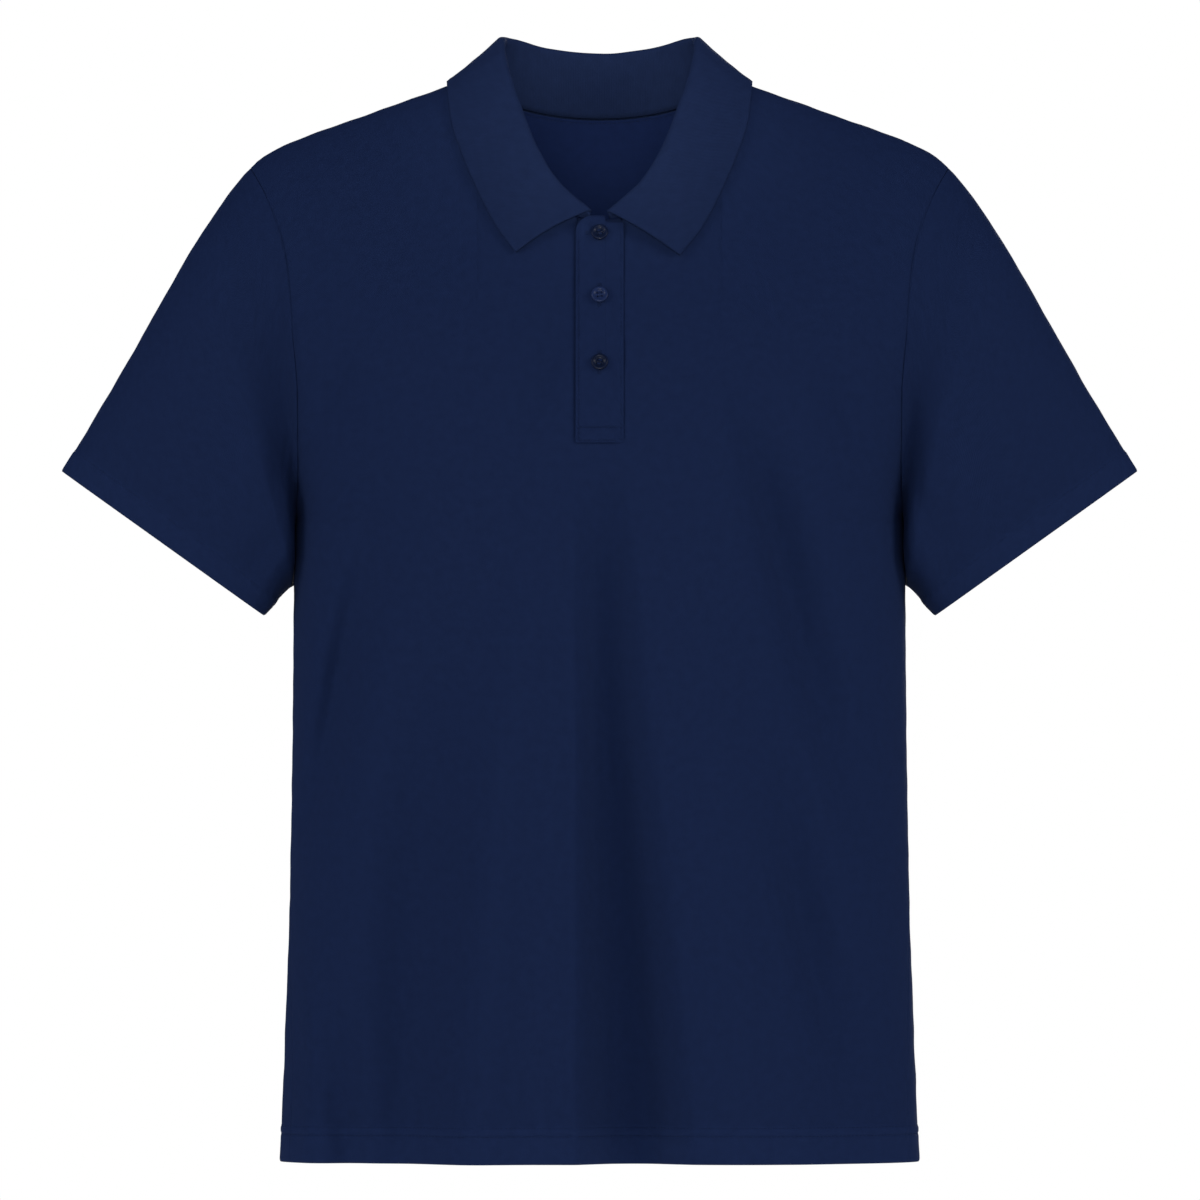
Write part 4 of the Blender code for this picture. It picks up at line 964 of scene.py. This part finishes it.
class POLO_OT_panels(bpy.types.Operator):
    """Makes the front and the back with their folds, and the stitches of the hem"""
    bl_idname = "polo.panels"
    bl_label = "Front and back"

    def execute(self, context):
        sizes, colours = context.scene.polo_sizes, context.scene.polo_colours
        cloth = pique_finish("navy_pique", colours.cloth)
        # the inner face's finish, painted lighter and bluer as painted light
        inside = pique_finish("navy_pique_inside", colours.inside)
        thread = thread_finish("navy_thread", colours.thread)
        slot_row = panel_rows().index((SLOT_FOOT_Z, None))
        middle = len(panel_columns()) // 2

        def in_slot(i, j):
            return middle - SLOT_COLUMNS <= i < middle + SLOT_COLUMNS and j >= slot_row

        for side in ("front", "back"):
            points, normals, from_hem = panel_surface(side, sizes)
            # the hem's share, which the finish paints lighter as painted light
            hem = in_hem(from_hem, sizes.body_hem / MM)
            panel = make_sheet(f"{side}_panel", points, cloth, sizes.cloth, turn=side == "back",
                               drop=in_slot if side == "front" else None, turned=hem, inside=inside)
            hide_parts(side)
            bm = bmesh.new()
            for value in hem_rows(sizes):
                add_stitches(bm, *trace(points, normals, from_hem, value), sizes)
            if side == "back":
                inner = points - normals * (sizes.cloth / MM)
                from_top = from_hem[:, -1:] - from_hem
                neck = np.abs(points[:, -1, 0]) < NECK_HALF - 1
                downward = [array[neck][:, ::-1] for array in (inner, -normals, from_top)]
                add_stitches(bm, *trace(*downward, NECK_STITCH_DROP), sizes)
            stitches = finish_piece(bm, f"{side}_stitches", thread)
        return {"FINISHED"}


# ---- sleeves -----------------------------------------------------------------
CUFF_STITCH = -0.3                      # where the hem's row of stitches runs, from the turned edge up
CROWN_AIM = (0.85, 0.0, 0.527)          # where the top of a sleeve bows to: outward and up
# How far the seam allowance lies under the armhole's edge and inward of it, from its raw edge to the seam.
ALLOWANCE = ((3.4, 7.0), (3.0, 3.8), (2.5, 1.6), (1.8, 0.56), (0.14, 0.5))


def sleeve_points(sign, angles, shares):
    """Points (round, along, 3) of a sleeve's outer surface."""
    turn = np.radians(angles)[:, None]
    share = np.asarray(shares)[None, :]
    squareness = mix(2.0, CUFF_SQUARENESS, ease(share / SLEEVE_FILL))
    up = np.sign(np.cos(turn)) * np.abs(np.cos(turn)) ** (2 / squareness)
    forward = np.sign(np.sin(turn)) * np.abs(np.sin(turn)) ** (2 / squareness)
    start_z = CHEST_Z + (SHOULDER_TIP_Z - ARMPIT_Z) / 2 * up
    reach = np.where(forward > 0, ARMHOLE_FRONT, ARMHOLE_BACK)
    start = np.stack([armhole_x(start_z) + SLEEVE_SEAM_SHIFT, -reach * forward, start_z], -1)
    outer = np.array((CUFF_OUTER[0], CUFF_Y, CUFF_OUTER[1]))
    inner = np.array((CUFF_INNER[0], CUFF_Y, CUFF_INNER[1]))
    end = (outer + inner) / 2 + (outer - inner) / 2 * up[..., None]
    end[..., 1] -= CUFF_DEPTH / 2 * forward
    points = mix(start, end, share[..., None])
    crown = SLEEVE_CROWN * CROWN_SCALE * share * (1 - share) ** 3 * np.maximum(0.0, np.cos(turn)) ** 2
    points += crown[..., None] * np.array(CROWN_AIM)
    points[..., 1] -= SLEEVE_BOW * np.sin(math.pi * share) * np.sin(turn)
    fold = np.zeros(points.shape[:2])
    for f in SLEEVE_FOLDS[sign]:
        on = (share >= f.start) & (share <= f.end)
        part = np.clip((share - f.start) / (f.end - f.start), 0.0, 1.0)
        swell = np.sin(math.pi * part ** (FOLD_START if f.start == 0 else 1.0)) ** 1.5
        away = (np.asarray(angles)[:, None] - f.angle - f.turn * part) / f.width
        fold += np.where(on, f.out * swell * np.exp(-away * away), 0.0)
    aside = 0.45 * np.maximum(np.cos(turn), 0.0) + 0.1 * np.minimum(np.cos(turn), 0.0)
    facing = np.stack([aside, -np.sin(turn), 0.3 * np.cos(turn)], -1)
    points += facing * fold[..., None]
    below = np.maximum(0.0, -np.cos(turn))
    points[..., 0] -= below ** 2 * read_off(UNDERARM, "share", "inward", share)
    points[..., 1] += below ** HANG_TURN * read_off(UNDERARM, "share", "back", share)
    points[..., 2] -= below ** 2 * read_off(UNDERARM, "share", "down", share)
    nearest = side_x(points[..., 1], points[..., 2]) + UNDERARM_CLEAR * np.minimum(share / 0.1, 1.0)
    points[..., 0] = np.where((below > 0) & (share > 0), np.maximum(points[..., 0], nearest), points[..., 0])
    return points * np.array((sign, 1, 1))


def sleeve_surface(sign, sizes):
    """Points and normals of a sleeve with its creases, hem and seam, and each point's height over the hem."""
    angles = np.array([360 * k / 120 for k in range(121)])
    shares = [0.0, 0.004, 0.009, 0.016] + [mix(0.026, 0.86, k / 42) for k in range(43)]
    shares += [mix(0.868, 1.0, k / 26) for k in range(27)]
    points = sleeve_points(sign, angles, shares)
    points[-1] = points[0]
    normals = grid_normals(points, closed=True) * sign
    across, along = run_along(points, 0), run_along(points, 1)
    from_hem = along[:, -1:] - along
    angle, share = angles[:, None], np.asarray(shares)[None, :]
    calm = ease(along / SEAM_CALM) * ease(from_hem / 12)
    out = np.zeros(along.shape)
    for n, c in enumerate(SLEEVE_CREASES):
        part = (share - c.share1) / (c.share2 - c.share1)
        inside = np.sin(math.pi * np.clip(part, 0, 1))
        shift = 4 * sign * math.sin(2.1 * n)
        away = angle - mix(c.angle1, c.angle2, part) - shift
        uneven = 1 + 0.3 * np.sin(5 * part + n)
        out = out + c.out * inside ** CREASE_FADE * uneven * bump_at(away, c.width * (0.5 + 0.7 * inside))
    out *= sizes.creasing * calm
    around = 90 * np.cos(np.radians(angle)) + 60 * np.sin(np.radians(angle))
    out += 0.3 * calm * unevenness(around, along, 3.1 + sign)
    hem = sizes.cuff_hem / MM
    out += hem_out(from_hem, across, hem, (hem + CUFF_STITCH,), 0.1)
    at_tip = np.cos(np.radians(angle) / 2) ** 24
    out += seam_out(along, across, 0.25) * (1 - at_tip) - 0.55 * at_tip * bump_at(along, 4.0)
    return points + normals * out[..., None], normals, from_hem


def with_allowance(points, sign):
    """The sleeve's sheet with its seam allowance, which turns in under the front and the back."""
    edge = points[:, 0]
    reach = np.where(edge[:, 1] < 0, ARMHOLE_FRONT, ARMHOLE_BACK)
    half = (SHOULDER_TIP_Z - ARMPIT_Z) / 2
    outward = np.stack([0 * reach, edge[:, 1] / reach ** 2, (edge[:, 2] - CHEST_Z) / half ** 2], -1)
    outward /= np.linalg.norm(outward, axis=-1, keepdims=True)
    inward = np.array((-sign, 0.0, 0.0))
    rows = [edge - outward * sunk + inward * under for sunk, under in ALLOWANCE]
    return np.concatenate([np.stack(rows, 1), points], 1)


class POLO_OT_sleeves(bpy.types.Operator):
    """Makes both sleeves with their folds and the stitches of their hems"""
    bl_idname = "polo.sleeves"
    bl_label = "Sleeves"

    def execute(self, context):
        sizes, colours = context.scene.polo_sizes, context.scene.polo_colours
        cloth = pique_finish("navy_sleeve_pique", colours.cloth)
        thread = thread_finish("navy_sleeve_thread", colours.thread)
        for name, sign in (("right", -1), ("left", 1)):
            points, normals, from_hem = sleeve_surface(sign, sizes)
            sheet = with_allowance(points, sign)
            # the hem's share, which the finish paints lighter as painted light
            hem = np.zeros(sheet.shape[:2])
            hem[:, -points.shape[1]:] = in_hem(from_hem, sizes.cuff_hem / MM)
            sleeve = make_sheet(f"{name}_sleeve", sheet, cloth, sizes.cloth, closed=True, turn=sign < 0,
                                turned=hem)
            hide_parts(f"sleeve_{name}")
            bm = bmesh.new()
            flipped = [array[:, ::-1] for array in (points, normals, from_hem)]
            add_stitches(bm, *trace(*flipped, sizes.cuff_hem / MM + CUFF_STITCH), sizes, closed=True)
            stitches = finish_piece(bm, f"{name}_sleeve_stitches", thread)
        return {"FINISHED"}


# ---- collar ------------------------------------------------------------------
STAND_STEPS, ROLL_STEPS, FALL_STEPS = 10, 10, 17
STAND_BOW = 1.2                         # how far the stand bows inward


def on_panel(x, drop_root, stand_off):
    """A point off a panel's outer surface, and the outward direction there."""
    side = "front" if drop_root > 0 else "back"
    outward = -1 if side == "front" else 1
    z = shoulder_z(x) - max(drop_root * drop_root, 0.01)
    y = panel_y(x, z, side)
    across = (panel_y(x + 1, z, side) - panel_y(x - 1, z, side)) / 2
    down = panel_y(x, z - 0.5, side) - y
    normal = Vector((-across * outward, outward, down * 2 * outward)).normalized()
    return Vector((x, y, z)) + normal * stand_off, normal


def neck_seam_point(angle, sign, cloth):
    """The point over the neckline from which the collar stands, at this angle round the neck."""
    x = NECK_HALF * math.sin(math.radians(angle))
    side = 1 if angle <= 90 else -1
    z = neckline_z(x, "front" if angle <= 90 else "back")
    point, normal = on_panel(x, side * math.sqrt(shoulder_z(x) - z + 0.01), 0.0)
    point -= Vector((normal.x, normal.y, 0.0)) * cloth / 2
    point.z += SEAM_GAP + COLLAR_REST + COLLAR_SIDE_REST * math.sin(math.radians(angle)) ** 12
    point.x *= sign
    return point


def collar_rib(angle, sign):
    """The collar's rib at this angle, read off the table for one side."""
    last = COLLAR_RIBS[-2]
    past_middle = last._replace(seam=360 - last.seam, fold_x=-last.fold_x, edge_x=-last.edge_x)
    ribs = (COLLAR_ENDS[sign],) + COLLAR_RIBS + (past_middle,)
    return Rib(*(float(read_off(ribs, "seam", column, angle)) for column in Rib._fields))


def collar_section(angle, sign, cloth):
    """Points across the collar from the neck seam up the stand, over the roll and down the fall."""
    rib = collar_rib(angle, sign)
    seam = neck_seam_point(rib.seam, sign, cloth)
    fold = Vector((sign * rib.fold_x, rib.fold_y, rib.fold_z))
    edge, _ = on_panel(rib.edge_x, rib.edge_drop, rib.stand_off)
    edge.x *= sign
    up = (fold - (seam + edge) / 2).normalized()
    out = edge - seam
    out = (out - up * out.dot(up)).normalized()
    centre = fold - up * rib.roll
    inner_top, outer_top = centre - out * rib.roll, centre + out * rib.roll
    points = []
    for k in range(STAND_STEPS):
        share = k / STAND_STEPS
        points.append(seam.lerp(inner_top, share) - out * STAND_BOW * math.sin(math.pi * share))
    for k in range(ROLL_STEPS + 1):
        turn = math.pi * k / ROLL_STEPS
        points.append(centre + rib.roll * (up * math.sin(turn) - out * math.cos(turn)))
    for k in range(1, FALL_STEPS + 1):
        share = 1 - (1 - k / FALL_STEPS) ** 1.25
        points.append(outer_top.lerp(edge, share) + out * rib.bow * math.sin(math.pi * share))
    return [tuple(p) for p in points]


class POLO_OT_collar(bpy.types.Operator):
    """Makes the turned-down collar"""
    bl_idname = "polo.collar"
    bl_label = "Collar"

    def execute(self, context):
        sizes, colours = context.scene.polo_sizes, context.scene.polo_colours
        knit = rib_finish("navy_flat_knit", colours.collar)
        start = COLLAR_ENDS[1].seam
        half = [mix(start, 180.0, (k / 84) ** 1.12) for k in range(85)]
        stations = [(angle, -1) for angle in half] + [(angle, 1) for angle in half[-2::-1]]
        points = np.array([collar_section(angle, sign, sizes.cloth / MM) for angle, sign in stations])
        normals = grid_normals(points)
        across, along = run_along(points, 0), run_along(points, 1)
        from_edge = along[:, -1:] - along
        from_end = np.minimum(across, across[-1] - across)
        out = 0.25 * bump_at(from_edge - 2.4, 1.6) * ease(from_end / 3)
        out += 0.22 * unevenness(across, along * 1.5, 4.0) * ease(along / 8) * ease(from_edge / 5)
        points = points + normals * out[..., None]
        collar = make_sheet("collar_sheet", points, knit, sizes.collar_cloth, offset=0.0)
        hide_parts("collar")
        return {"FINISHED"}


# ---- placket -----------------------------------------------------------------
PLACKET_XS = (-PLACKET_HALF, -16.3, -15.9, -15.2, -14.6, -14.1, -13.4, -12, -10, -8, -6, -4, -2, 0, 2, 3.8,
              4.1, 6, 8, 10, 12, 13.4, 14.1, 14.6, 15.2, 15.9, 16.3, PLACKET_HALF)
STITCH_XS = (-14.3, 14.7)               # the rows of stitches down the placket's edges
STITCH_HEIGHTS = (1.4, 10.6)            # and across its foot, over PLACKET_FOOT_Z
# Where the upper placket sinks: an edge, how far from it, how deep and how wide.
DIPS = (("right", 2.2, 0.4, 0.7), ("left", 1.8, 0.2, 0.8), ("foot", 1.4, 0.5, 0.7), ("foot", 10.6, 0.55, 0.8),
        ("right", 0.0, 0.35, 0.5), ("left", 0.0, 0.1, 0.6), ("foot", 0.0, 0.35, 0.6))
DEEPEST_DIP = 0.6
DIPS_HEIGHT = 150                       # over the foot; the dips end there, beside the collar's ends
HOLE_LENGTH, HOLE_HALF = 15.0, 1.3      # of a buttonhole
BAR_STEP, BAR_WIDTH = 0.55, 1.15        # one stitch of it
END_STEP, END_WIDTH = 0.5, 2.9          # and of the bar across each end
LEVEL_SHIFT = -1.5                      # the top buttonhole is level and lies off its button's middle


def placket_top_edge(x):
    from_corner = np.clip(PLACKET_CORNER - (x + PLACKET_HALF), 0.0, PLACKET_CORNER)
    round_edge = PLACKET_TOP_Z - PLACKET_CORNER + np.sqrt(PLACKET_CORNER ** 2 - from_corner ** 2)
    return np.where(x > PLACKET_SHELF_X, PLACKET_SHELF_Z, round_edge)


def front_y(x, z):
    """y of the front's solid with its folds."""
    return panel_y(x, z, "front") - fold_out(x, z, FRONT_FOLDS) - SEAM_GAP / 2


def placket_y(x, z, cloth):
    """y of the upper placket's outer face, which is sewn down at its edges and foot."""
    lift = COLLAR_LIFT * ease((-3 - x) / 7) * ease((z + 112) / 14)
    sewn_down = 0.35 + 1.1 * ease((x - 8) / 8.5) + 0.3 * ease((PLACKET_FOOT_Z + 4 - z) / 4)
    return front_y(x, z) - LAY_GAP - cloth - lift + sewn_down * ease((-104 - z) / 8)


class POLO_OT_placket(bpy.types.Operator):
    """Makes the two layers of the placket with their stitching and buttonholes"""
    bl_idname = "polo.placket"
    bl_label = "Placket"

    def execute(self, context):
        sizes, colours = context.scene.polo_sizes, context.scene.polo_colours
        cloth = pique_finish("navy_placket_pique", colours.cloth)
        thread = thread_finish("navy_placket_thread", colours.thread)
        wall = sizes.cloth / MM
        xs = np.array(PLACKET_XS)
        shares = np.concatenate([np.linspace(0, 0.012, 5), np.linspace(0.018, 0.048, 8),
                                 np.linspace(0.06, 0.078, 7), np.linspace(0.09, 1.0, 82)])
        x = np.repeat(xs[:, None], len(shares), 1)
        z = mix(PLACKET_FOOT_Z, placket_top_edge(x), shares[None, :])
        y = placket_y(x, z, wall)
        height = z - PLACKET_FOOT_Z
        edges = {"right": x + PLACKET_HALF, "left": PLACKET_HALF - x, "foot": height}
        dips = sum(deep * bump_at(edges[edge] - off, wide) for edge, off, deep, wide in DIPS)
        ripple = 0.12 * np.sin(z / 2.7) * (bump_at(edges["left"] - 4, 3) + bump_at(edges["right"] - 4, 3))
        y = y + np.minimum(dips, DEEPEST_DIP) * (height < DIPS_HEIGHT) - ripple
        y = y - 0.18 * unevenness(x * 2, z, 5.0)
        points = np.stack([x, y, z], -1)
        top = make_sheet("placket_upper", points, cloth, sizes.cloth)
        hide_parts("placket_top")

        bm = bmesh.new()
        way = np.linspace(0, 1, 60)
        facings = np.tile((0.0, -1.0, 0.0), (len(way), 1))

        def line(x1, z1, x2, z2):
            lx, lz = mix(x1, x2, way), mix(z1, z2, way)
            ly = placket_y(lx, lz, wall) + 0.25
            add_stitches(bm, np.stack([lx, ly, lz], -1), facings, sizes)

        right, left = STITCH_XS
        foot = PLACKET_FOOT_Z + STITCH_HEIGHTS[0]
        line(right, foot, right, PLACKET_TOP_Z - 16)
        line(left, foot, left, PLACKET_SHELF_Z - 4)
        for height in STITCH_HEIGHTS:
            line(right, PLACKET_FOOT_Z + height, left, PLACKET_FOOT_Z + height)
        stitches = finish_piece(bm, "placket_stitches", thread)

        bm = bmesh.new()
        for number, button_z in enumerate(BUTTON_ZS):
            add_buttonhole(bm, button_z, number == 0, wall)
        holes = finish_piece(bm, "buttonholes", thread)

        reach = SLOT_HALF - SEAM_GAP
        xs = np.linspace(-reach, reach, 17)
        shares = np.linspace(0, 1, 60)
        x = np.repeat(xs[:, None], len(shares), 1)
        z = mix(SLOT_FOOT_Z + SEAM_GAP, neckline_z(x, "front"), shares[None, :])
        under = make_sheet("placket_lower", np.stack([x, front_y(x, z), z], -1), cloth, sizes.cloth)
        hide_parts("placket_under")
        return {"FINISHED"}


def add_buttonhole(bm, button_z, level, wall):
    """A stitched slit under a button: two close columns of thread and a bar across each end."""
    for edge in (-HOLE_HALF * 0.62, HOLE_HALF * 0.62):
        for n in range(int(HOLE_LENGTH / BAR_STEP)):
            add_bar(bm, -HOLE_LENGTH / 2 + BAR_STEP * n, edge, BAR_WIDTH, level, button_z, wall)
    for end in (-HOLE_LENGTH / 2, HOLE_LENGTH / 2):
        for n in range(3):
            add_bar(bm, end + END_STEP * (n - 1), 0.0, END_WIDTH, level, button_z, wall)


def add_bar(bm, along, aside, width, level, button_z, wall):
    """One stitch of a buttonhole, across its slit."""
    x, z = (along + LEVEL_SHIFT, button_z + aside) if level else (aside, button_z + along)
    turn = Matrix.Rotation(math.pi / 2 if level else 0.0, 4, "Y")
    place = Vector((x, float(placket_y(np.array(x), np.array(z), wall)) - 0.12, z)) * MM
    size = Matrix.Diagonal((width / 2 * MM, 0.3 * MM, 0.3 * MM, 1.0))
    bmesh.ops.create_icosphere(bm, subdivisions=1, radius=1.0, matrix=Matrix.Translation(place) @ turn @ size)


# ---- buttons -----------------------------------------------------------------
BUTTON_PAINTED_LIGHT = (0.42, 1.15, 0.36)      # painted light and shade scaling each button's colour, from the top: a painted highlight on the middle one, painted shade on the other two
BUTTON_TURNS = (0.35, 0.1, -0.3)        # radians that each is turned on its thread
# A button from the middle of its face to the middle of its back: shares of its radius and of its thickness.
BUTTON_PROFILE = ((0.0, 0.60), (0.40, 0.60), (0.52, 0.63), (0.60, 0.74), (0.66, 0.90), (0.73, 0.99),
                  (0.82, 1.0), (0.91, 0.97), (0.97, 0.88), (1.0, 0.72), (1.0, 0.45), (0.96, 0.26),
                  (0.86, 0.10), (0.70, 0.02), (0.0, 0.0))
STRAND_SHAPE = (1.75, 0.2, 0.28)        # half sizes of one strand of thread between two holes
STRAND_STEP, STRAND_HEIGHT = 0.32, 1.5
SHANK_RADII, SHANK_LENGTH, SHANK_MIDDLE = (1.5, 1.3), 0.9, 0.2     # of the thread under a button


class POLO_OT_buttons(bpy.types.Operator):
    """Makes the four-hole buttons and the thread that holds them"""
    bl_idname = "polo.buttons"
    bl_label = "Buttons"

    def execute(self, context):
        sizes, colours = context.scene.polo_sizes, context.scene.polo_colours
        thread = thread_finish("navy_button_thread", colours.thread)
        wall = sizes.cloth / MM
        for number, z in enumerate(BUTTON_ZS, 1):
            here, under, over = (float(front_y(np.array(0.0), np.array(z + h))) for h in (0.0, -3.0, 3.0))
            slope = (over - under) / 6
            y = here - LAY_GAP - wall - SEAM_GAP - BUTTON_SHANK
            place = Matrix.Translation(Vector((0.0, y, z)) * MM)
            place = place @ Matrix.Rotation(math.pi / 2 - math.atan(slope), 4, "X")
            place = place @ Matrix.Rotation(BUTTON_TURNS[number - 1], 4, "Z")
            # each button's colour is scaled by its painted light and shade
            finish = button_finish(f"navy_button_{number}", colours.button, BUTTON_PAINTED_LIGHT[number - 1])
            button = make_button(f"polo_button_{number}", sizes.button / MM, finish)
            button.data.transform(place)
            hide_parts(f"button_{number}")
            bm = bmesh.new()
            for side in (-1, 1):
                for strand in (-STRAND_STEP, 0.0, STRAND_STEP):
                    size = Matrix.Diagonal((*(half * MM for half in STRAND_SHAPE), 1.0))
                    at = Matrix.Translation(Vector((0.0, side * HOLE_SPACING + strand, STRAND_HEIGHT)) * MM)
                    bmesh.ops.create_icosphere(bm, subdivisions=2, radius=1.0, matrix=place @ at @ size)
            wide, narrow = (radius * MM for radius in SHANK_RADII)
            foot = Matrix.Translation((0, 0, SHANK_MIDDLE * MM))
            bmesh.ops.create_cone(bm, cap_ends=True, segments=16, radius1=wide, radius2=narrow,
                                  depth=SHANK_LENGTH * MM, matrix=place @ foot)
            strands = finish_piece(bm, f"button_thread_{number}", thread)
        return {"FINISHED"}


def make_button(name, radius, finish):
    """A button turned from its profile and drilled with four holes."""
    bm = bmesh.new()
    verts = [bm.verts.new((out * radius * MM, 0.0, up * BUTTON_THICKNESS * MM)) for out, up in BUTTON_PROFILE]
    edges = [bm.edges.new(pair) for pair in zip(verts, verts[1:])]
    bmesh.ops.spin(bm, geom=verts + edges, axis=(0, 0, 1), cent=(0, 0, 0), angle=2 * math.pi, steps=48,
                   use_merge=True)
    bmesh.ops.remove_doubles(bm, verts=bm.verts, dist=WELD / 10)
    bmesh.ops.recalc_face_normals(bm, faces=bm.faces)
    button = finish_piece(bm, name, finish)
    cutter_bm = bmesh.new()
    for sx in (-1, 1):
        for sy in (-1, 1):
            at = Matrix.Translation((sx * HOLE_SPACING * MM, sy * HOLE_SPACING * MM, 0))
            bmesh.ops.create_cone(cutter_bm, cap_ends=True, segments=16, radius1=HOLE_RADIUS * MM,
                                  radius2=HOLE_RADIUS * MM, depth=8 * MM, matrix=at)
    cutter_mesh = bpy.data.meshes.new("holes")
    cutter_bm.to_mesh(cutter_mesh)
    cutter_bm.free()
    cutter = bpy.data.objects.new("holes", cutter_mesh)
    bpy.context.scene.collection.objects.link(cutter)
    cut = button.modifiers.new("holes", "BOOLEAN")
    cut.operation = "DIFFERENCE"
    cut.solver = "EXACT"
    cut.object = cutter
    graph = bpy.context.evaluated_depsgraph_get()
    pierced = bpy.data.meshes.new_from_object(button.evaluated_get(graph))
    button.modifiers.clear()
    button.data = pierced
    pierced.name = name
    bpy.data.objects.remove(cutter)
    return button


# ---- studio ------------------------------------------------------------------
FLOOR_FADE, FLOOR_RADIUS = 1.6, 4.5     # metres from the middle at which the floor starts to fade, and ends
SENSOR = 36.0                           # millimetres
FILL_COLOUR = (0.45, 0.75, 1.5, 1.0)    # the even light is bluish, which the deep folds show
# Each lamp's place and size, metres, by the name of its power in PoloStudio.
LAMPS = {
    "key": ("front_lamp", (-0.2, -4.0, -0.05), 1.6),
    "left": ("left_lamp", (-3.2, -1.9, 1.0), 1.6),
    "right": ("right_lamp", (3.2, -1.9, 1.0), 1.6),
    "back": ("back_lamp", (0.3, 4.0, 0.4), 2.0),
}
NECK_LAMP, NECK_AIM = (0.0, -4.0, 0.12), (0.0, 0.0, 0.008)
NECK_LAMP_SIZE, NECK_LAMP_TURN = 0.06, math.radians(4.4)


class POLO_OT_studio(bpy.types.Operator):
    """Makes the pale floor, the soft lamps and the camera"""
    bl_idname = "polo.studio"
    bl_label = "Studio"

    def execute(self, context):
        studio, colours = context.scene.polo_studio, context.scene.polo_colours
        white, tree, shader = new_finish("white_paper", 0.85)
        where = tree.nodes.new("ShaderNodeTexCoord").outputs["Object"]
        tinted(tree, shader, colours.floor, noise(tree, where, 3.0, 2.0), 0.99, 1.0)
        away = tree.nodes.new("ShaderNodeVectorMath")
        away.operation = "LENGTH"
        tree.links.new(where, away.inputs[0])
        fade = tree.nodes.new("ShaderNodeMapRange")
        fade.interpolation_type = "SMOOTHSTEP"
        for socket, value in zip(fade.inputs[1:5], (FLOOR_FADE, FLOOR_RADIUS, 1.0, 0.0)):
            socket.default_value = value
        tree.links.new(away.outputs["Value"], fade.inputs[0])
        tree.links.new(fade.outputs[0], shader.inputs["Alpha"])
        bm = bmesh.new()
        bmesh.ops.create_circle(bm, cap_ends=True, segments=64, radius=FLOOR_RADIUS,
                                matrix=Matrix.Translation((0.0, 0.0, studio.floor)))
        mesh = bpy.data.meshes.new("floor")
        bm.to_mesh(mesh)
        bm.free()
        floor = bpy.data.objects.new("floor", mesh)
        mesh.materials.append(white)
        context.scene.collection.objects.link(floor)

        middle = Vector((0.0, 0.0, studio.view_z))
        for power, (name, place, size) in LAMPS.items():
            lamp = add_lamp(context, name, "AREA", place, middle, getattr(studio, power))
            lamp.shape = "SQUARE"
            lamp.size = size
        neck = add_lamp(context, "neck_lamp", "SPOT", NECK_LAMP, Vector(NECK_AIM), studio.neck)
        neck.shadow_soft_size = NECK_LAMP_SIZE
        neck.spot_size = NECK_LAMP_TURN
        neck.spot_blend = 1.0

        world = bpy.data.worlds.new("studio")
        world.use_nodes = True
        tree = world.node_tree
        fill, output = tree.nodes["Background"], tree.nodes["World Output"]
        fill.inputs["Color"].default_value = FILL_COLOUR
        fill.inputs["Strength"].default_value = studio.sky
        seen = tree.nodes.new("ShaderNodeBackground")
        seen.inputs["Color"].default_value = (1.0, 1.0, 1.0, 1.0)
        choice = tree.nodes.new("ShaderNodeMixShader")
        tree.links.new(tree.nodes.new("ShaderNodeLightPath").outputs["Is Camera Ray"], choice.inputs[0])
        tree.links.new(fill.outputs[0], choice.inputs[1])
        tree.links.new(seen.outputs[0], choice.inputs[2])
        tree.links.new(choice.outputs[0], output.inputs["Surface"])
        context.scene.world = world

        lens = bpy.data.cameras.new("camera")
        lens.sensor_width = SENSOR
        lens.lens = SENSOR * studio.distance / studio.view_width
        lens.clip_end = 60.0
        camera = bpy.data.objects.new("camera", lens)
        camera.location = (studio.view_x, -studio.distance, studio.view_z)
        camera.rotation_euler = (math.pi / 2, 0.0, 0.0)
        context.scene.collection.objects.link(camera)
        context.scene.camera = camera
        context.scene.view_settings.view_transform = "Standard"
        return {"FINISHED"}


def add_lamp(context, name, kind, place, aim, power):
    lamp = bpy.data.lights.new(name, kind)
    lamp.energy = power
    made = bpy.data.objects.new(name, lamp)
    made.location = place
    made.rotation_euler = (aim - Vector(place)).to_track_quat("-Z", "Y").to_euler()
    made.visible_camera = False
    context.scene.collection.objects.link(made)
    return lamp


# ---- panel and registration --------------------------------------------------
class POLO_PT_panel(bpy.types.Panel):
    """Lists the shirt's pieces, sizes and colours"""
    bl_label = "Polo shirt"
    bl_idname = "POLO_PT_panel"
    bl_space_type = "VIEW_3D"
    bl_region_type = "UI"
    bl_category = "Polo shirt"

    def draw(self, context):
        for group in (context.scene.polo_sizes, context.scene.polo_colours, context.scene.polo_studio):
            for name in group.__annotations__:
                self.layout.prop(group, name)
        for step in STEPS:
            self.layout.operator(step.bl_idname)


STEPS = (POLO_OT_panels, POLO_OT_sleeves, POLO_OT_collar, POLO_OT_placket, POLO_OT_buttons, POLO_OT_studio)
GROUPS = {"polo_sizes": PoloSizes, "polo_colours": PoloColours, "polo_studio": PoloStudio}


def register():
    for made in (*GROUPS.values(), *STEPS, POLO_PT_panel):
        bpy.utils.register_class(made)
    for name, group in GROUPS.items():
        setattr(bpy.types.Scene, name, PointerProperty(type=group))


def unregister():
    for name in GROUPS:
        delattr(bpy.types.Scene, name)
    for made in reversed((*GROUPS.values(), *STEPS, POLO_PT_panel)):
        bpy.utils.unregister_class(made)


def main():
    register()
    bpy.ops.polo.panels()
    bpy.ops.polo.sleeves()
    bpy.ops.polo.collar()
    bpy.ops.polo.placket()
    bpy.ops.polo.buttons()
    bpy.ops.polo.studio()


if __name__ == "__main__":
    main()
